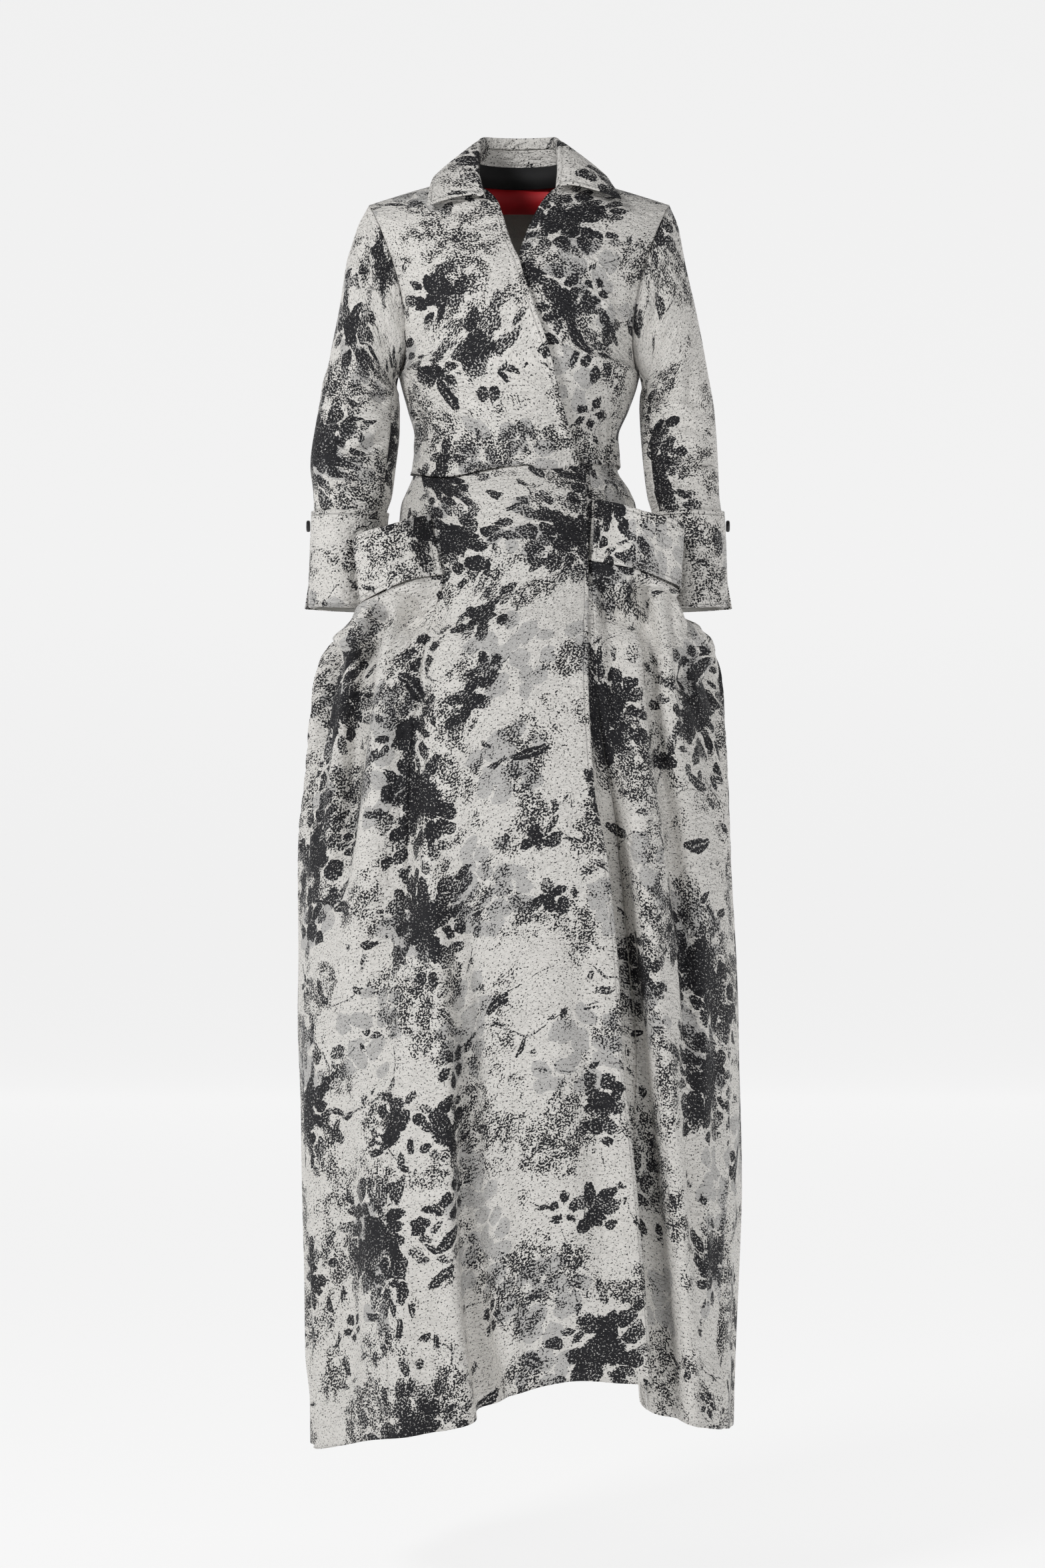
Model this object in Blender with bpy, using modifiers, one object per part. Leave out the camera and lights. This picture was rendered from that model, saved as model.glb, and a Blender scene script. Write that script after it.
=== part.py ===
"""Long wrap dress: fitted bodice, shirt collar, bent sleeves with turned-back cuffs,
stand-away pocket bands and a full skirt gathered below them.

The garment is hollow and keeps its worn shape. Its front looks along -Y, +X is to the right
of someone who looks at the front, and +Z is up. The origin is the middle of the neck
between the shoulder seams. Heights in the tables are millimetres above the ground line
that the hem hangs to, and the other sizes in them are millimetres or degrees.
"""
import math

import bmesh
import bpy
import numpy as np
from mathutils import Matrix, Vector

MM = 0.001

# Driving dimensions, in millimetres
HOLD_HEIGHT = 1547.0        # the origin above the ground line
CLOTH = 1.6                 # wall of every cloth piece
SHOULDER_X, SHOULDER_HEIGHT = 183.0, 1510.0
SHOULDER_Y = 8.0
NECK_X = 62.0               # the shoulder seam's inner end
UNDERARM = (146.0, 2.0, 1300.0)
ARMHOLE_FRONT = (140.0, -52.0, 1385.0)
ARMHOLE_BACK = (152.0, 58.0, 1395.0)

# The bodice's form
CHEST_FLAT = 0.07           # how much flatter than an ellipse the chest is
SHOULDER_POWER = 1.3        # how late the shoulder line drops on its way out
BACK_NECK_DROP = 0.11       # how far the back neckline dips, in torso levels
WAIST_SIDE_X = 124.0        # where the side seam meets the waist
WAIST_HALF = 121.0          # half the waist's width inside the seam
BEYOND = 200.0              # further out than any side seam

# Seams, laps and edges
SEAM_GAP = 0.35             # left between two pieces at a seam
SIDE_GAP, SHOULDER_GAP = 0.6, 1.3   # each piece's share, where the walls lean together
LAP_LIFT = 3.8              # how far the overlapping front stands off the one below
LAP_SIDE = (-62.0, 40.0)    # where it starts to stand off, and over what width
LAP_NECK = (1530.0, 60.0)   # the same below the neck, by height
SKIRT_LAP = (-60.0, 50.0)   # and on the skirt
WAIST_LIP = 4.2             # how far the bodice's edge stands out over the skirt
LIP_START = (70.0, 20.0)    # where the edge of the front below begins to stand out
WAIST_TUCK = 2.0            # how far the skirt goes up behind it
UNDER_RAISE = 5.0           # the under front ends this much higher where it is covered
UNDER_HIDDEN = (74.0, 8.0)  # where it comes out from under the other one
VALLEY_OFF = 3.5            # degrees from the wrap edge to the valley beside it

# Rows and columns of the panels' grids
LOW_ROWS, ARM_ROWS = 5, 10  # bodice rows below the underarm, and beside the armhole
FRONT_COLUMNS, BACK_COLUMNS = 12, 18
OVER_COLUMNS, UNDER_COLUMNS, HALF_COLUMNS = 17, 8, 9    # the skirt's fronts and half backs
SIDE_COLUMNS = 18
BAND_COLUMNS, BAND_ROWS = 12, 3
BAND_SHARE = BAND_COLUMNS / SIDE_COLUMNS  # of the side's top edge that hangs from the band
CUFF_ROWS, CUFF_COLUMNS = 5, 20
LEAF_COLUMNS, STAND_COLUMNS, STAND_ROWS = 26, 20, 3
TAPE_COLUMNS, LABEL_COLUMNS = 8, 6
LOW_SHARE = 1 - (1 - np.linspace(0, 1, 14)) ** 1.3      # rows from the hem to the pocket
HIGH_SHARE = np.linspace(0, 1, 6)                       # and from there to the waist
SLEEVE_PARTS = (0.0, 0.08, 0.2, 0.34, 0.48, 0.6, 0.69, 0.78, 0.87, 0.93, 1.0)
HALVINGS = 30               # steps of a search for a level or an angle
KNEE_GUESS, HEM_GUESS, WAIST_GUESS, HIP_GUESS = 0.88, 60.0, 1185.0, 1180.0

# Pockets
BAND_SEAT = {"left": 4.0, "right": 2.3}         # a band's outer face above the panel under it
BAND_OFF = 0.6              # the band stands this far outside its path
POCKET_TOP = {"left": 1052.4, "right": 1070.6}  # the row level with the band's lower edge
SIDE_INSET = 4.0            # the full side hangs this far inside the band's lower edge
HIP_FOOT = 1008.0           # where the full side starts, behind the band
FOOT_INSIDE = 3.7           # the hip panel's foot, inside the full side's top edge
FOOT_ABOVE = 1.0            # and above it, so that their walls stay apart
FOOT_EASE = 9.0             # the foot comes to that place over a ninth of the edge
HANG = 85.0                 # height over which the gathers ease into the full skirt

# Buttons
BUTTON_RADIUS, BUTTON_THICK, BUTTON_EDGE = 7.0, 4.4, 1.5
BUTTON_UP = 0.80            # up the cuff
BUTTON_TURN = 16.0          # degrees round the cuff from the vent
BUTTON_OFF = 1.2            # clear of the cuff's middle line

WHITE = (0.62, 0.61, 0.59)
INK = (0.02, 0.02, 0.022)
RED = (0.42, 0.01, 0.02)


class Table:
    """Rows with named columns, read smoothly between the rows by the first column."""

    def __init__(self, names, *rows):
        self.names = names.split()
        self.rows = np.array(sorted(rows), float)

    def read(self, name, at):
        keys = self.rows[:, 0]
        values = self.rows[:, self.names.index(name)]
        step = np.diff(keys)
        slope = np.diff(values) / step
        product = slope[:-1] * slope[1:]
        total = slope[:-1] + slope[1:]
        tangent = np.zeros(len(keys))
        tangent[1:-1] = np.where(product > 0, 2 * product / np.where(total == 0, 1, total), 0)
        tangent[0], tangent[-1] = slope[0], slope[-1]
        x = np.clip(np.asarray(at, float), keys[0], keys[-1])
        k = np.clip(np.searchsorted(keys, x, side="right") - 1, 0, len(keys) - 2)
        t = (x - keys[k]) / step[k]
        rise = values[k] * (1 + 2 * t) * (1 - t) ** 2 + values[k + 1] * t ** 2 * (3 - 2 * t)
        bend = tangent[k] * t * (1 - t) ** 2 + tangent[k + 1] * t ** 2 * (t - 1)
        return rise + bend * step[k]


# The bodice from the waist (level 0) to the shoulder seam (level 1)
FRONT = Table(
    "level height drop half shift depth",
    (0.00, 1160, 0, 136, -1, 112),
    (0.05, 1188, 0, 123, -4, 96),
    (0.12, 1225, 0, 123, -3, 98),
    (0.22, 1260, 0, 133, -1, 107),
    (0.32, 1290, 0, 141, 0, 116),
    (0.44, 1330, 0, 148, 0, 123),
    (0.55, 1370, 0, 153, 0, 123),
    (0.66, 1418, 5, 160, 0, 113),
    (0.76, 1466, 14, 168, 0, 97),
    (0.85, 1508, 26, 175, 0, 76),
    (0.92, 1534, 37, 179, 0, 53),
    (0.97, 1549, 43, 182, 0, 29),
    (1.00, 1556, 46, 183, 0, 2.5),
)
BACK = Table(
    "level height drop half shift depth",
    (0.00, 1160, 0, 136, -1, 106),
    (0.05, 1188, 0, 123, -4, 90),
    (0.12, 1225, 0, 123, -3, 88),
    (0.22, 1260, 0, 133, -1, 93),
    (0.32, 1290, 0, 141, 0, 99),
    (0.44, 1336, 1, 148, 0, 106),
    (0.55, 1390, 6, 155, 0, 110),
    (0.66, 1450, 16, 163, 0, 106),
    (0.76, 1500, 30, 170, 0, 95),
    (0.85, 1534, 41, 176, 0, 77),
    (0.92, 1549, 45, 180, 0, 56),
    (0.97, 1555, 46, 182, 0, 30),
    (1.00, 1556, 46, 183, 0, 2.5),
)
MIDDLE = Table("level y", (0, 0), (0.5, 0), (0.8, 4), (1, SHOULDER_Y))

# Where the waist seam runs, across the front
WAIST = Table(
    "x height",
    (-130, 1183), (-118, 1178), (-84, 1171), (-50, 1176), (-15, 1180),
    (40, 1185), (72, 1189), (100, 1190), (125, 1192),
)
BACK_WAIST = 1189.0

# The free edge of the overlapping front, and of the one below it, from the waist to the neck
OVER_EDGE = Table(
    "height x",
    (1160, 76), (1189, 69), (1222, 60), (1270, 47), (1322, 34), (1366, 19), (1407, 5),
    (1430, -1), (1440, -6), (1460, -13), (1482, -19), (1503, -26), (1516, -36), (1528, -50),
    (1547, -NECK_X),
)
UNDER_EDGE = Table(
    "height x",
    (1160, -30), (1200, -28), (1300, -22), (1380, -12), (1432, -1), (1446, 3), (1461, 8),
    (1480, 16), (1495, 23), (1515, 36), (1527, 50), (1547, NECK_X),
)

# The skirt's sections, without its folds
SKIRT = Table(
    "height half shift front back",
    (-20, 251, 4, 228, 276),
    (60, 252, 4, 230, 276),
    (220, 257, 5, 236, 272),
    (382, 264, 3, 240, 266),
    (544, 268, -1, 240, 258),
    (706, 264, -3, 233, 247),
    (806, 259, -2, 222, 236),
    (868, 253, -1, 212, 226),
    (901, 249, -0.5, 205, 220),
    (933, 243, 0, 196, 213),
    (958, 229, 1, 188, 206),
    (980, 202, 2, 181, 198),
    (993, 172, 1, 176, 191),
    (1004, 156, 0, 172, 184),
    (1055, 149, 0, 158, 166),
    (1100, 147, 0, 142, 143),
    (1144, 142.5, -1, 121, 116),
    (1160, 136, -1, 112, 106),
    (1188, 123, -4, 96, 90),
    (1210, 122, -4, 94, 88),
)
SQUARE = Table("height power", (-20, 2.15), (1060, 2.15), (1150, 2.0), (1300, 2.0))

# The hem's height round the skirt; the bias sides drop and the wrapped front is short
HEM = Table(
    "angle height",
    (-180, 62), (-140, 48), (-112, 20), (-92, 8), (-75, 11), (-60, 24), (-45, 40),
    (-30, 52), (-19, 62), (-11, 80), (-3, 98), (6, 109), (18, 114), (30, 110), (38, 106),
    (42, 80), (48, 60), (58, 47), (75, 34), (92, 25), (112, 26), (140, 48), (180, 62),
)

# Folds of the skirt: the angle, half width and depth of each at some heights
FOLDS = {
    "left_corner": Table(
        "height angle width depth",
        (915, -64, 20, 0), (945, -64, 20, 6), (965, -63, 18, 22), (980, -62, 16, 42),
        (993, -61, 12, 39), (1004, -61, 9, 33), (1012, -61, 8, 28), (1020, -62, 8, 20),
        (1032, -62, 8, 0),
    ),
    "right_corner": Table(
        "height angle width depth",
        (930, 66, 22, 0), (962, 66, 22, 22), (982, 65, 19, 43), (1000, 63, 13, 71),
        (1030, 60, 8, 54), (1042, 60, 8, 48), (1056, 60, 8, 0),
    ),
    "left_seam": Table(
        "height angle width depth",
        (500, -34, 6, 0), (826, -34, 6, -9), (936, -35, 5, -10), (1050, -33, 4, 0),
    ),
    "left_deep": Table(
        "height angle width depth",
        (560, -55, 7, 0), (706, -54, 6, -11), (868, -53, 4.5, -22), (980, -55, 4, -24),
        (1016, -56, 3, -8),
    ),
    "left_outer": Table(
        "height angle width depth",
        (760, -76, 7, 0), (870, -72, 6, -14), (960, -68, 5, -16), (1012, -65, 4, -4),
    ),
    "left_side": Table(
        "height angle width depth",
        (500, -92, 8, 0), (700, -90, 8, -9), (900, -88, 6, -12), (1000, -86, 4, -3),
    ),
    "left_gather": Table(
        "height angle width depth",
        (880, -45, 5, 0), (960, -46, 4, -9), (1030, -47, 3, -7),
    ),
    "right_long": Table(
        "height angle width depth",
        (400, 53, 8, 0), (540, 50, 6, -15), (706, 47, 5, -20), (884, 43, 4, -16),
        (1040, 45, 3, -8),
    ),
    "right_outer": Table(
        "height angle width depth",
        (780, 68, 6, 0), (880, 64, 5, -12), (960, 61, 4, -15), (1030, 59, 3, -5),
    ),
    "right_side": Table(
        "height angle width depth",
        (450, 93, 8, 0), (680, 90, 8, -10), (880, 86, 6, -12), (1000, 82, 4, -3),
    ),
    "centre_left": Table(
        "height angle width depth",
        (-20, -8, 6, -40), (58, -8.5, 6, -38), (170, -12, 6, -32), (263, -13.5, 6, -26),
        (400, -14, 6, -17), (520, -15, 5, -8), (640, -17, 5, 0),
    ),
    "centre_recess": Table(
        "height angle width depth",
        (-20, 16, 22, -30), (200, 15, 22, -20), (420, 14, 20, -8), (600, 12, 20, 0),
    ),
    "left_front_swell": Table(
        "height angle width depth",
        (-20, -32, 14, 14), (200, -33, 14, 12), (500, -33, 14, 6), (800, -33, 14, 0),
    ),
    "right_front_swell": Table(
        "height angle width depth",
        (-20, 56, 9, 12), (200, 58, 10, 12), (500, 66, 10, 6), (800, 66, 10, 0),
    ),
    "back_middle": Table(
        "height angle width depth",
        (-20, 178, 9, -22), (300, 177, 9, -22), (700, 180, 8, -16), (1000, 181, 7, -6),
        (1120, 180, 6, 0),
    ),
    "back_left": Table(
        "height angle width depth",
        (-20, -138, 10, -20), (300, -140, 9, -20), (700, -146, 8, -15), (980, -150, 7, -7),
        (1100, -152, 6, 0),
    ),
    "back_right": Table(
        "height angle width depth",
        (-20, 142, 10, -21), (300, 143, 9, -18), (700, 148, 8, -14), (980, 152, 7, -8),
        (1100, 153, 6, 0),
    ),
    "back_side_left": Table(
        "height angle width depth",
        (-20, -112, 9, -14), (300, -113, 9, -14), (700, -116, 8, -10), (950, -118, 7, 0),
    ),
    "back_side_right": Table(
        "height angle width depth",
        (-20, 114, 9, -13), (300, 116, 9, -15), (700, 118, 8, -9), (950, 120, 7, 0),
    ),
}

# The valley that runs down beside the wrap edge, in the panels under it
WRAP_VALLEY = Table(
    "height depth width",
    (-20, -34, 5.0), (100, -34, 5.0), (400, -28, 4.5), (700, -20, 4.0), (900, -9, 4.0),
    (1060, -2, 4.0), (1200, 0, 4.0),
)

# Lines down the front of the skirt, as distances from the middle
WRAP_EDGE = Table(
    "height x",
    (60, 157), (110, 154), (180, 149), (262, 142), (335, 136), (410, 128), (492, 119),
    (575, 115), (715, 102), (806, 86), (940, 80), (1080, 80), (1189, 78), (1210, 78),
)
UNDER_PANEL_EDGE = Table("height x", (60, 30), (500, 12), (1000, 8), (1210, 4))
LEFT_SEAM = Table(
    "height x",
    (40, -150), (260, -152), (500, -146), (826, -131), (936, -118), (1000, -104),
    (1050, -88), (1125, -103), (1180, -118), (1210, -119),
)
RIGHT_SEAM = Table(
    "height x",
    (40, 176), (180, 166), (410, 148), (575, 136), (715, 122), (806, 108), (940, 92),
    (1070, 83), (1140, 87), (1190, 84), (1210, 84),
)
BACK_SEAM_ANGLE = 112.0

# The pocket bands: the path of the lower and the upper edge round the hip, as x, y, height
BANDS = {
    "left": {
        "low": (
            (-88, -146, 1054), (-122, -149, 1048), (-150, -143, 1039), (-174, -128, 1028),
            (-188, -108, 1020), (-178, -90, 1018), (-158, -78, 1018),
        ),
        "high": (
            (-103, -122, 1127), (-132, -136, 1118), (-158, -138, 1110), (-182, -130, 1104),
            (-197, -114, 1096), (-182, -94, 1094), (-160, -80, 1094),
        ),
    },
    "right": {
        "low": (
            (84, -147, 1070), (114, -150, 1064), (142, -144, 1058), (170, -130, 1048),
            (192, -108, 1038), (180, -90, 1034), (158, -78, 1032),
        ),
        "high": (
            (89, -118, 1145), (118, -134, 1137), (146, -138, 1128), (174, -132, 1121),
            (196, -114, 1113), (182, -94, 1112), (158, -80, 1112),
        ),
    },
}
POCKET_FLOOR_RISE = 45.0    # above the lower edge, where the hip panel turns out to it

# The sleeve: its outer and inner line, how deep it is, and its middle
SLEEVES = {
    "left": Table(
        "along outer outer_height inner inner_height middle deep",
        (0.00, 183, 1510, 146, 1300, 3, 55),
        (0.08, 196, 1484, 149, 1293, 2, 57),
        (0.20, 209, 1438, 149, 1287, 2, 59),
        (0.34, 221, 1371, 147, 1278, 2, 60),
        (0.48, 234, 1306, 145, 1262, 0, 59),
        (0.60, 244, 1257, 145, 1236, -4, 57),
        (0.74, 253, 1192, 150, 1186, -12, 54),
        (0.82, 249, 1156, 154, 1154, -18, 53),
        (0.88, 248, 1128, 162, 1126, -21, 53),
        (1.00, 249, 1018, 168, 1014, -33, 54),
    ),
    "right": Table(
        "along outer outer_height inner inner_height middle deep",
        (0.00, 183, 1510, 146, 1300, 3, 55),
        (0.08, 193, 1484, 149, 1293, 2, 57),
        (0.20, 202, 1438, 149, 1287, 2, 59),
        (0.34, 217, 1371, 147, 1278, 2, 60),
        (0.48, 229, 1306, 146, 1262, 0, 59),
        (0.60, 237, 1257, 147, 1236, -4, 57),
        (0.74, 241, 1192, 151, 1186, -12, 54),
        (0.82, 242, 1156, 155, 1154, -18, 53),
        (0.88, 245, 1128, 162, 1126, -21, 53),
        (1.00, 247, 1018, 169, 1014, -33, 54),
    ),
}
SLEEVE_SEAM_OUTER, SLEEVE_SEAM_INNER = -36.0, 144.0   # angles of the two sleeve seams
SHOULDER_PART, ARMHOLE_PART = 0.1, 0.42   # how far down the shoulder and armhole shape it
TUBE_GAP = 1.0              # at a seam along a sleeve, on its outside
ARMHOLE_GAP = 0.9           # between the sleeve's top edge and the bodice
UNDERARM_GAP = 1.6          # further out at the underarm, where the sleeve hangs beside it
CUFF_START, CUFF_END = 0.868, 1.004                   # along the sleeve
CUFF_LIFT = (3.6, 5.4)                                # off the sleeve, at its top and bottom
CUFF_SEAT = 2.35                                      # where it turns up from the sleeve's edge
VENT_ANGLE, VENT_OPEN, VENT_FLARE = -16.0, 5.5, 12.0
VENT_CLOSED = 0.5                                     # half the slit above it, in degrees
VENT_TOP = 0.45                                       # where it closes, up the cuff

# The neck, from the left front round the back to the right front
NECK_SEAM = Table(
    "turn x y height",
    (0.00, -43, -60, 1519), (0.14, -58, -32, 1535), (0.26, -64, 2, 1547),
    (0.38, -47, 44, 1550), (0.50, 0, 63, 1549), (0.62, 47, 44, 1550),
    (0.74, 64, 2, 1547), (0.86, 58, -30, 1538), (1.00, 50, -52, 1529),
)
ROLL_LINE = Table(
    "turn x y height",
    (0.00, -44, -75, 1508), (0.14, -52, -46, 1547), (0.26, -50, -6, 1579),
    (0.38, -42, 38, 1595), (0.50, 0, 59, 1597), (0.62, 42, 38, 1595),
    (0.74, 49, -6, 1581), (0.86, 50, -40, 1554), (1.00, 48, -65, 1522),
)
LEAF_EDGE = Table(
    "turn x y height",
    (0.00, -110, -70, 1497), (0.14, -107, -36, 1525), (0.26, -96, 16, 1549),
    (0.38, -66, 66, 1549), (0.50, 0, 86, 1548), (0.62, 66, 66, 1549),
    (0.74, 98, 16, 1549), (0.86, 112, -34, 1527), (1.00, 122, -64, 1506),
)
LEAF_TUCK, LEAF_TUCK_END = 11.0, 2.0      # how far the leaf goes down inside, to the stand
LEAF_TUCK_TURN = 0.2        # its ends rise to the second figure over this much turn
LEAF_ROWS = ((0.72, 3.0), (0.42, 4.5), (0.17, 4.0))       # share of the fall, and its swell
ROLL_ROWS = ((2.4, 0.2), (0.0, 1.8), (-2.2, 0.0))         # out from the roll line, and above it
ROLL_INSIDE = 2.8           # the leaf's inner edge, in from the roll line
STAND_LOW = (1.2, 1.6)      # the stand's lower edge, in from the neck seam and above it
STAND_GAP = 0.5             # below the leaf's inner edge
STAND_TURNS = (0.10, 0.90)
TAPE_TURNS = (0.30, 0.70)
TAPE_HEIGHTS = (1545.0, 1562.0)
TAPE_INSET = 4.8            # in from the neck seam
LABEL_HALF, LABEL_HEIGHTS = 37.0, (1507.0, 1538.0)
LABEL_INSET = 11.0          # off the back, so that it clears the neck seam
LABEL_BEHIND = 2.5          # its middle, behind the tape


def lerp(a, b, t):
    return a + (b - a) * t


def ease(t):
    t = np.clip(t, 0.0, 1.0)
    return t * t * (3 - 2 * t)


def beyond(x, edge):
    """Rises from 0 to 1 past a place, over a width."""
    return ease((x - edge[0]) / edge[1])


def stack(x, y, z):
    x, y, z = np.broadcast_arrays(x, y, z)
    return np.stack([x, y, z], axis=-1)


def torso(table, level, turn):
    """A point of the bodice; turn is -90 to 90 degrees across the front or the back."""
    angle = np.radians(turn)
    half = table.read("half", level)
    x = half * np.sin(angle) + table.read("shift", level)
    way = -1.0 if table is FRONT else 1.0
    flat = 1 - CHEST_FLAT * ease((level - 0.1) / 0.25)
    y = MIDDLE.read("y", level) + way * table.read("depth", level) * np.cos(angle) ** flat
    reach = np.abs(np.sin(angle)) ** SHOULDER_POWER
    return stack(x, y, table.read("height", level) - table.read("drop", level) * reach)


def level_of(table, x, height):
    """The level where the bodice passes a height at a distance x from the middle."""
    low = np.zeros(np.broadcast(x, height).shape)
    high = np.ones_like(low)
    for _ in range(HALVINGS):
        level = (low + high) / 2
        reach = np.clip(np.abs(x) / table.read("half", level), 0, 1) ** SHOULDER_POWER
        below = table.read("height", level) - table.read("drop", level) * reach < height
        low = np.where(below, level, low)
        high = np.where(below, high, level)
    return (low + high) / 2


def turn_of(table, level, x):
    part = (x - table.read("shift", level)) / table.read("half", level)
    return np.degrees(np.arcsin(np.clip(part, -1, 1)))


def armhole(angle, side):
    """The armhole seam: 0 is the shoulder, 90 the front, 180 the underarm."""
    top = np.array((SHOULDER_X, SHOULDER_Y, SHOULDER_HEIGHT))
    low, front, back = (np.array(p) for p in (UNDERARM, ARMHOLE_FRONT, ARMHOLE_BACK))
    a = np.radians(np.asarray(angle, float))[..., None]
    middle = (top + low) / 2
    point = middle + np.cos(a) * (top - low) / 2 + np.sin(a) * (front - back) / 2
    point = point + np.sin(a) ** 2 * ((front + back) / 2 - middle)
    return point * np.array((side, 1, 1))


def push(points, distance):
    """The grid moved out along its own normals."""
    across = np.gradient(points, axis=1)
    up = np.gradient(points, axis=0)
    normal = np.cross(across, up)
    normal /= np.linalg.norm(normal, axis=-1, keepdims=True)
    return points + normal * np.asarray(distance)[..., None]


def lip(points, where=1.0):
    """The lowest edge of the bodice stood out over the skirt."""
    out = np.zeros(points.shape[:2])
    out[0] = WAIST_LIP
    out[1] = WAIST_LIP * 0.3
    return push(points, out * where)


def edge_rows():
    """The rows up a bodice piece: height at its side, and the armhole angle or none."""
    low = np.linspace(0, 1, LOW_ROWS + 1)
    angles = np.linspace(180, 0, ARM_ROWS + 1)
    return low, angles


def side_edge(table, side, sign):
    """The level, turn and place of each row's end at the side seam and armhole."""
    low, angles = edge_rows()
    waist = WAIST.read("height", side * WAIST_SIDE_X)
    heights = lerp(waist, UNDERARM[2], low[:-1])
    ring = armhole(sign * angles, side)
    heights = np.concatenate([heights, ring[:, 2]])
    x = np.concatenate([np.full(LOW_ROWS, side * BEYOND), ring[:, 0]])
    level = level_of(table, np.clip(np.abs(x), 0, SHOULDER_X), heights)
    level[-1] = 1.0
    turn = turn_of(table, level, x)
    turn[:LOW_ROWS + 1] = side * 90.0
    base = torso(table, level, turn)
    rest = np.zeros_like(base)
    rest[LOW_ROWS:] = ring - base[LOW_ROWS:]
    rest[:LOW_ROWS] = rest[LOW_ROWS] * (low[:-1, None] ** 2)
    return level, turn, rest


def bodice_front(side, edge, columns, lap):
    """One front, from its free edge to the side; lap is how far it stands off."""
    level, turn, rest = side_edge(FRONT, side, 1)
    count = len(level)
    up = np.linspace(0, 1, count)
    heights = torso(FRONT, level, turn)[:, 2] + (HOLD_HEIGHT - SHOULDER_HEIGHT) * up ** 2
    x = edge.read("x", heights)
    for _ in range(4):
        heights[0] = WAIST.read("height", x[0])
        x = edge.read("x", heights)
    inner_level = level_of(FRONT, x, heights)
    inner_level[-1] = 1.0
    x[-1] = side * NECK_X
    inner_turn = turn_of(FRONT, inner_level, x)
    s = np.linspace(0, 1, columns + 1)[None, :]
    levels = lerp(inner_level[:, None], level[:, None], s)
    turns = lerp(inner_turn[:, None], turn[:, None], s)
    bottom = torso(FRONT, levels[0], turns[0])
    hidden = 0 if lap else UNDER_RAISE * (1 - beyond(bottom[:, 0], UNDER_HIDDEN))
    levels[0] = level_of(FRONT, bottom[:, 0], WAIST.read("height", bottom[:, 0]) + hidden)
    points = torso(FRONT, levels, turns) + rest[:, None, :] * (s ** 3)[..., None]
    points[..., 1] -= SIDE_GAP * (s ** 8) + SHOULDER_GAP * (up ** 8)[:, None]
    if side < 0:
        points = points[:, ::-1, :]
    points = lip(points, 1.0 if lap else beyond(points[..., 0], LIP_START))
    if lap:
        below_neck = ease((LAP_NECK[0] - points[..., 2]) / LAP_NECK[1])
        cover = beyond(points[..., 0], LAP_SIDE) * below_neck
        points = push(points, lap * cover)
    return points


def bodice_back(columns):
    """The back, from the side seam at -X to the one at +X."""
    left_level, left_turn, left_rest = side_edge(BACK, -1, -1)
    right_level, right_turn, right_rest = side_edge(BACK, 1, -1)
    s = np.linspace(0, 1, columns + 1)[None, :]
    levels = lerp(left_level[:, None], right_level[:, None], s)
    turns = lerp(left_turn[:, None], right_turn[:, None], s)
    up = np.linspace(0, 1, len(left_level))[:, None]
    neck_turn = math.degrees(math.asin(NECK_X / SHOULDER_X))
    dip = np.cos(np.clip(turns / neck_turn, -1, 1) * math.pi / 2) ** 0.8
    levels = levels - BACK_NECK_DROP * dip * up ** 4
    points = torso(BACK, levels, turns)
    rest = left_rest[:, None, :] * (np.clip(1 - 2 * s, 0, 1) ** 3)[..., None]
    rest = rest + right_rest[:, None, :] * (np.clip(2 * s - 1, 0, 1) ** 3)[..., None]
    points = points + rest
    sides = np.abs(2 * s - 1) ** 8
    points[..., 1] += SIDE_GAP * sides + SHOULDER_GAP * up ** 8
    return lip(points[:, ::-1, :])


def fold_depth(height, angle):
    """How far the skirt's folds move the cloth in or out."""
    total = np.zeros(np.broadcast(height, angle).shape)
    for fold in FOLDS.values():
        centre = fold.read("angle", height)
        off = (angle - centre + 180) % 360 - 180
        inside = (height >= fold.rows[0, 0]) & (height <= fold.rows[-1, 0])
        size = np.where(inside, fold.read("depth", height), 0)
        total = total + size * np.exp(-(off / fold.read("width", height)) ** 2)
    return total


def skirt(height, angle, lap=False):
    """A point of the skirt at an angle round it; 0 is the front, 90 is +X."""
    height = np.asarray(height, float)
    a = np.radians(angle)
    half = SKIRT.read("half", height)
    depth = np.where(np.cos(a) > 0, SKIRT.read("front", height), SKIRT.read("back", height))
    power = SQUARE.read("power", height)
    reach = (np.abs(np.sin(a)) / half) ** power + (np.abs(np.cos(a)) / depth) ** power
    radius = reach ** (-1 / power) + fold_depth(height, angle)
    if not lap:
        centre = wrap_angle(height) + VALLEY_OFF
        off = (angle - centre + 180) % 360 - 180
        width = WRAP_VALLEY.read("width", height)
        radius = radius + WRAP_VALLEY.read("depth", height) * np.exp(-(off / width) ** 2)
    x = SKIRT.read("shift", height) + radius * np.sin(a)
    return stack(x, -radius * np.cos(a), height)


def angle_at(height, x):
    """The angle at which the front of the skirt passes a distance x from the middle."""
    low = np.full(np.broadcast(height, x).shape, -88.0)
    high = -low
    for _ in range(HALVINGS):
        angle = (low + high) / 2
        below = skirt(height, angle, lap=True)[..., 0] < x
        low = np.where(below, angle, low)
        high = np.where(below, high, angle)
    return (low + high) / 2


WRAP_STATIONS = np.arange(-20.0, 1215.0, 5.0)
WRAP_ANGLES = angle_at(WRAP_STATIONS, WRAP_EDGE.read("x", WRAP_STATIONS))


def wrap_angle(height):
    return np.interp(height, WRAP_STATIONS, WRAP_ANGLES)


def panel_rows(knee):
    """Where a panel's rows lie, with the pocket's own row at the knee."""
    return np.concatenate([LOW_SHARE * knee, (knee + (1 - knee) * HIGH_SHARE)[1:]])[:, None]


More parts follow.
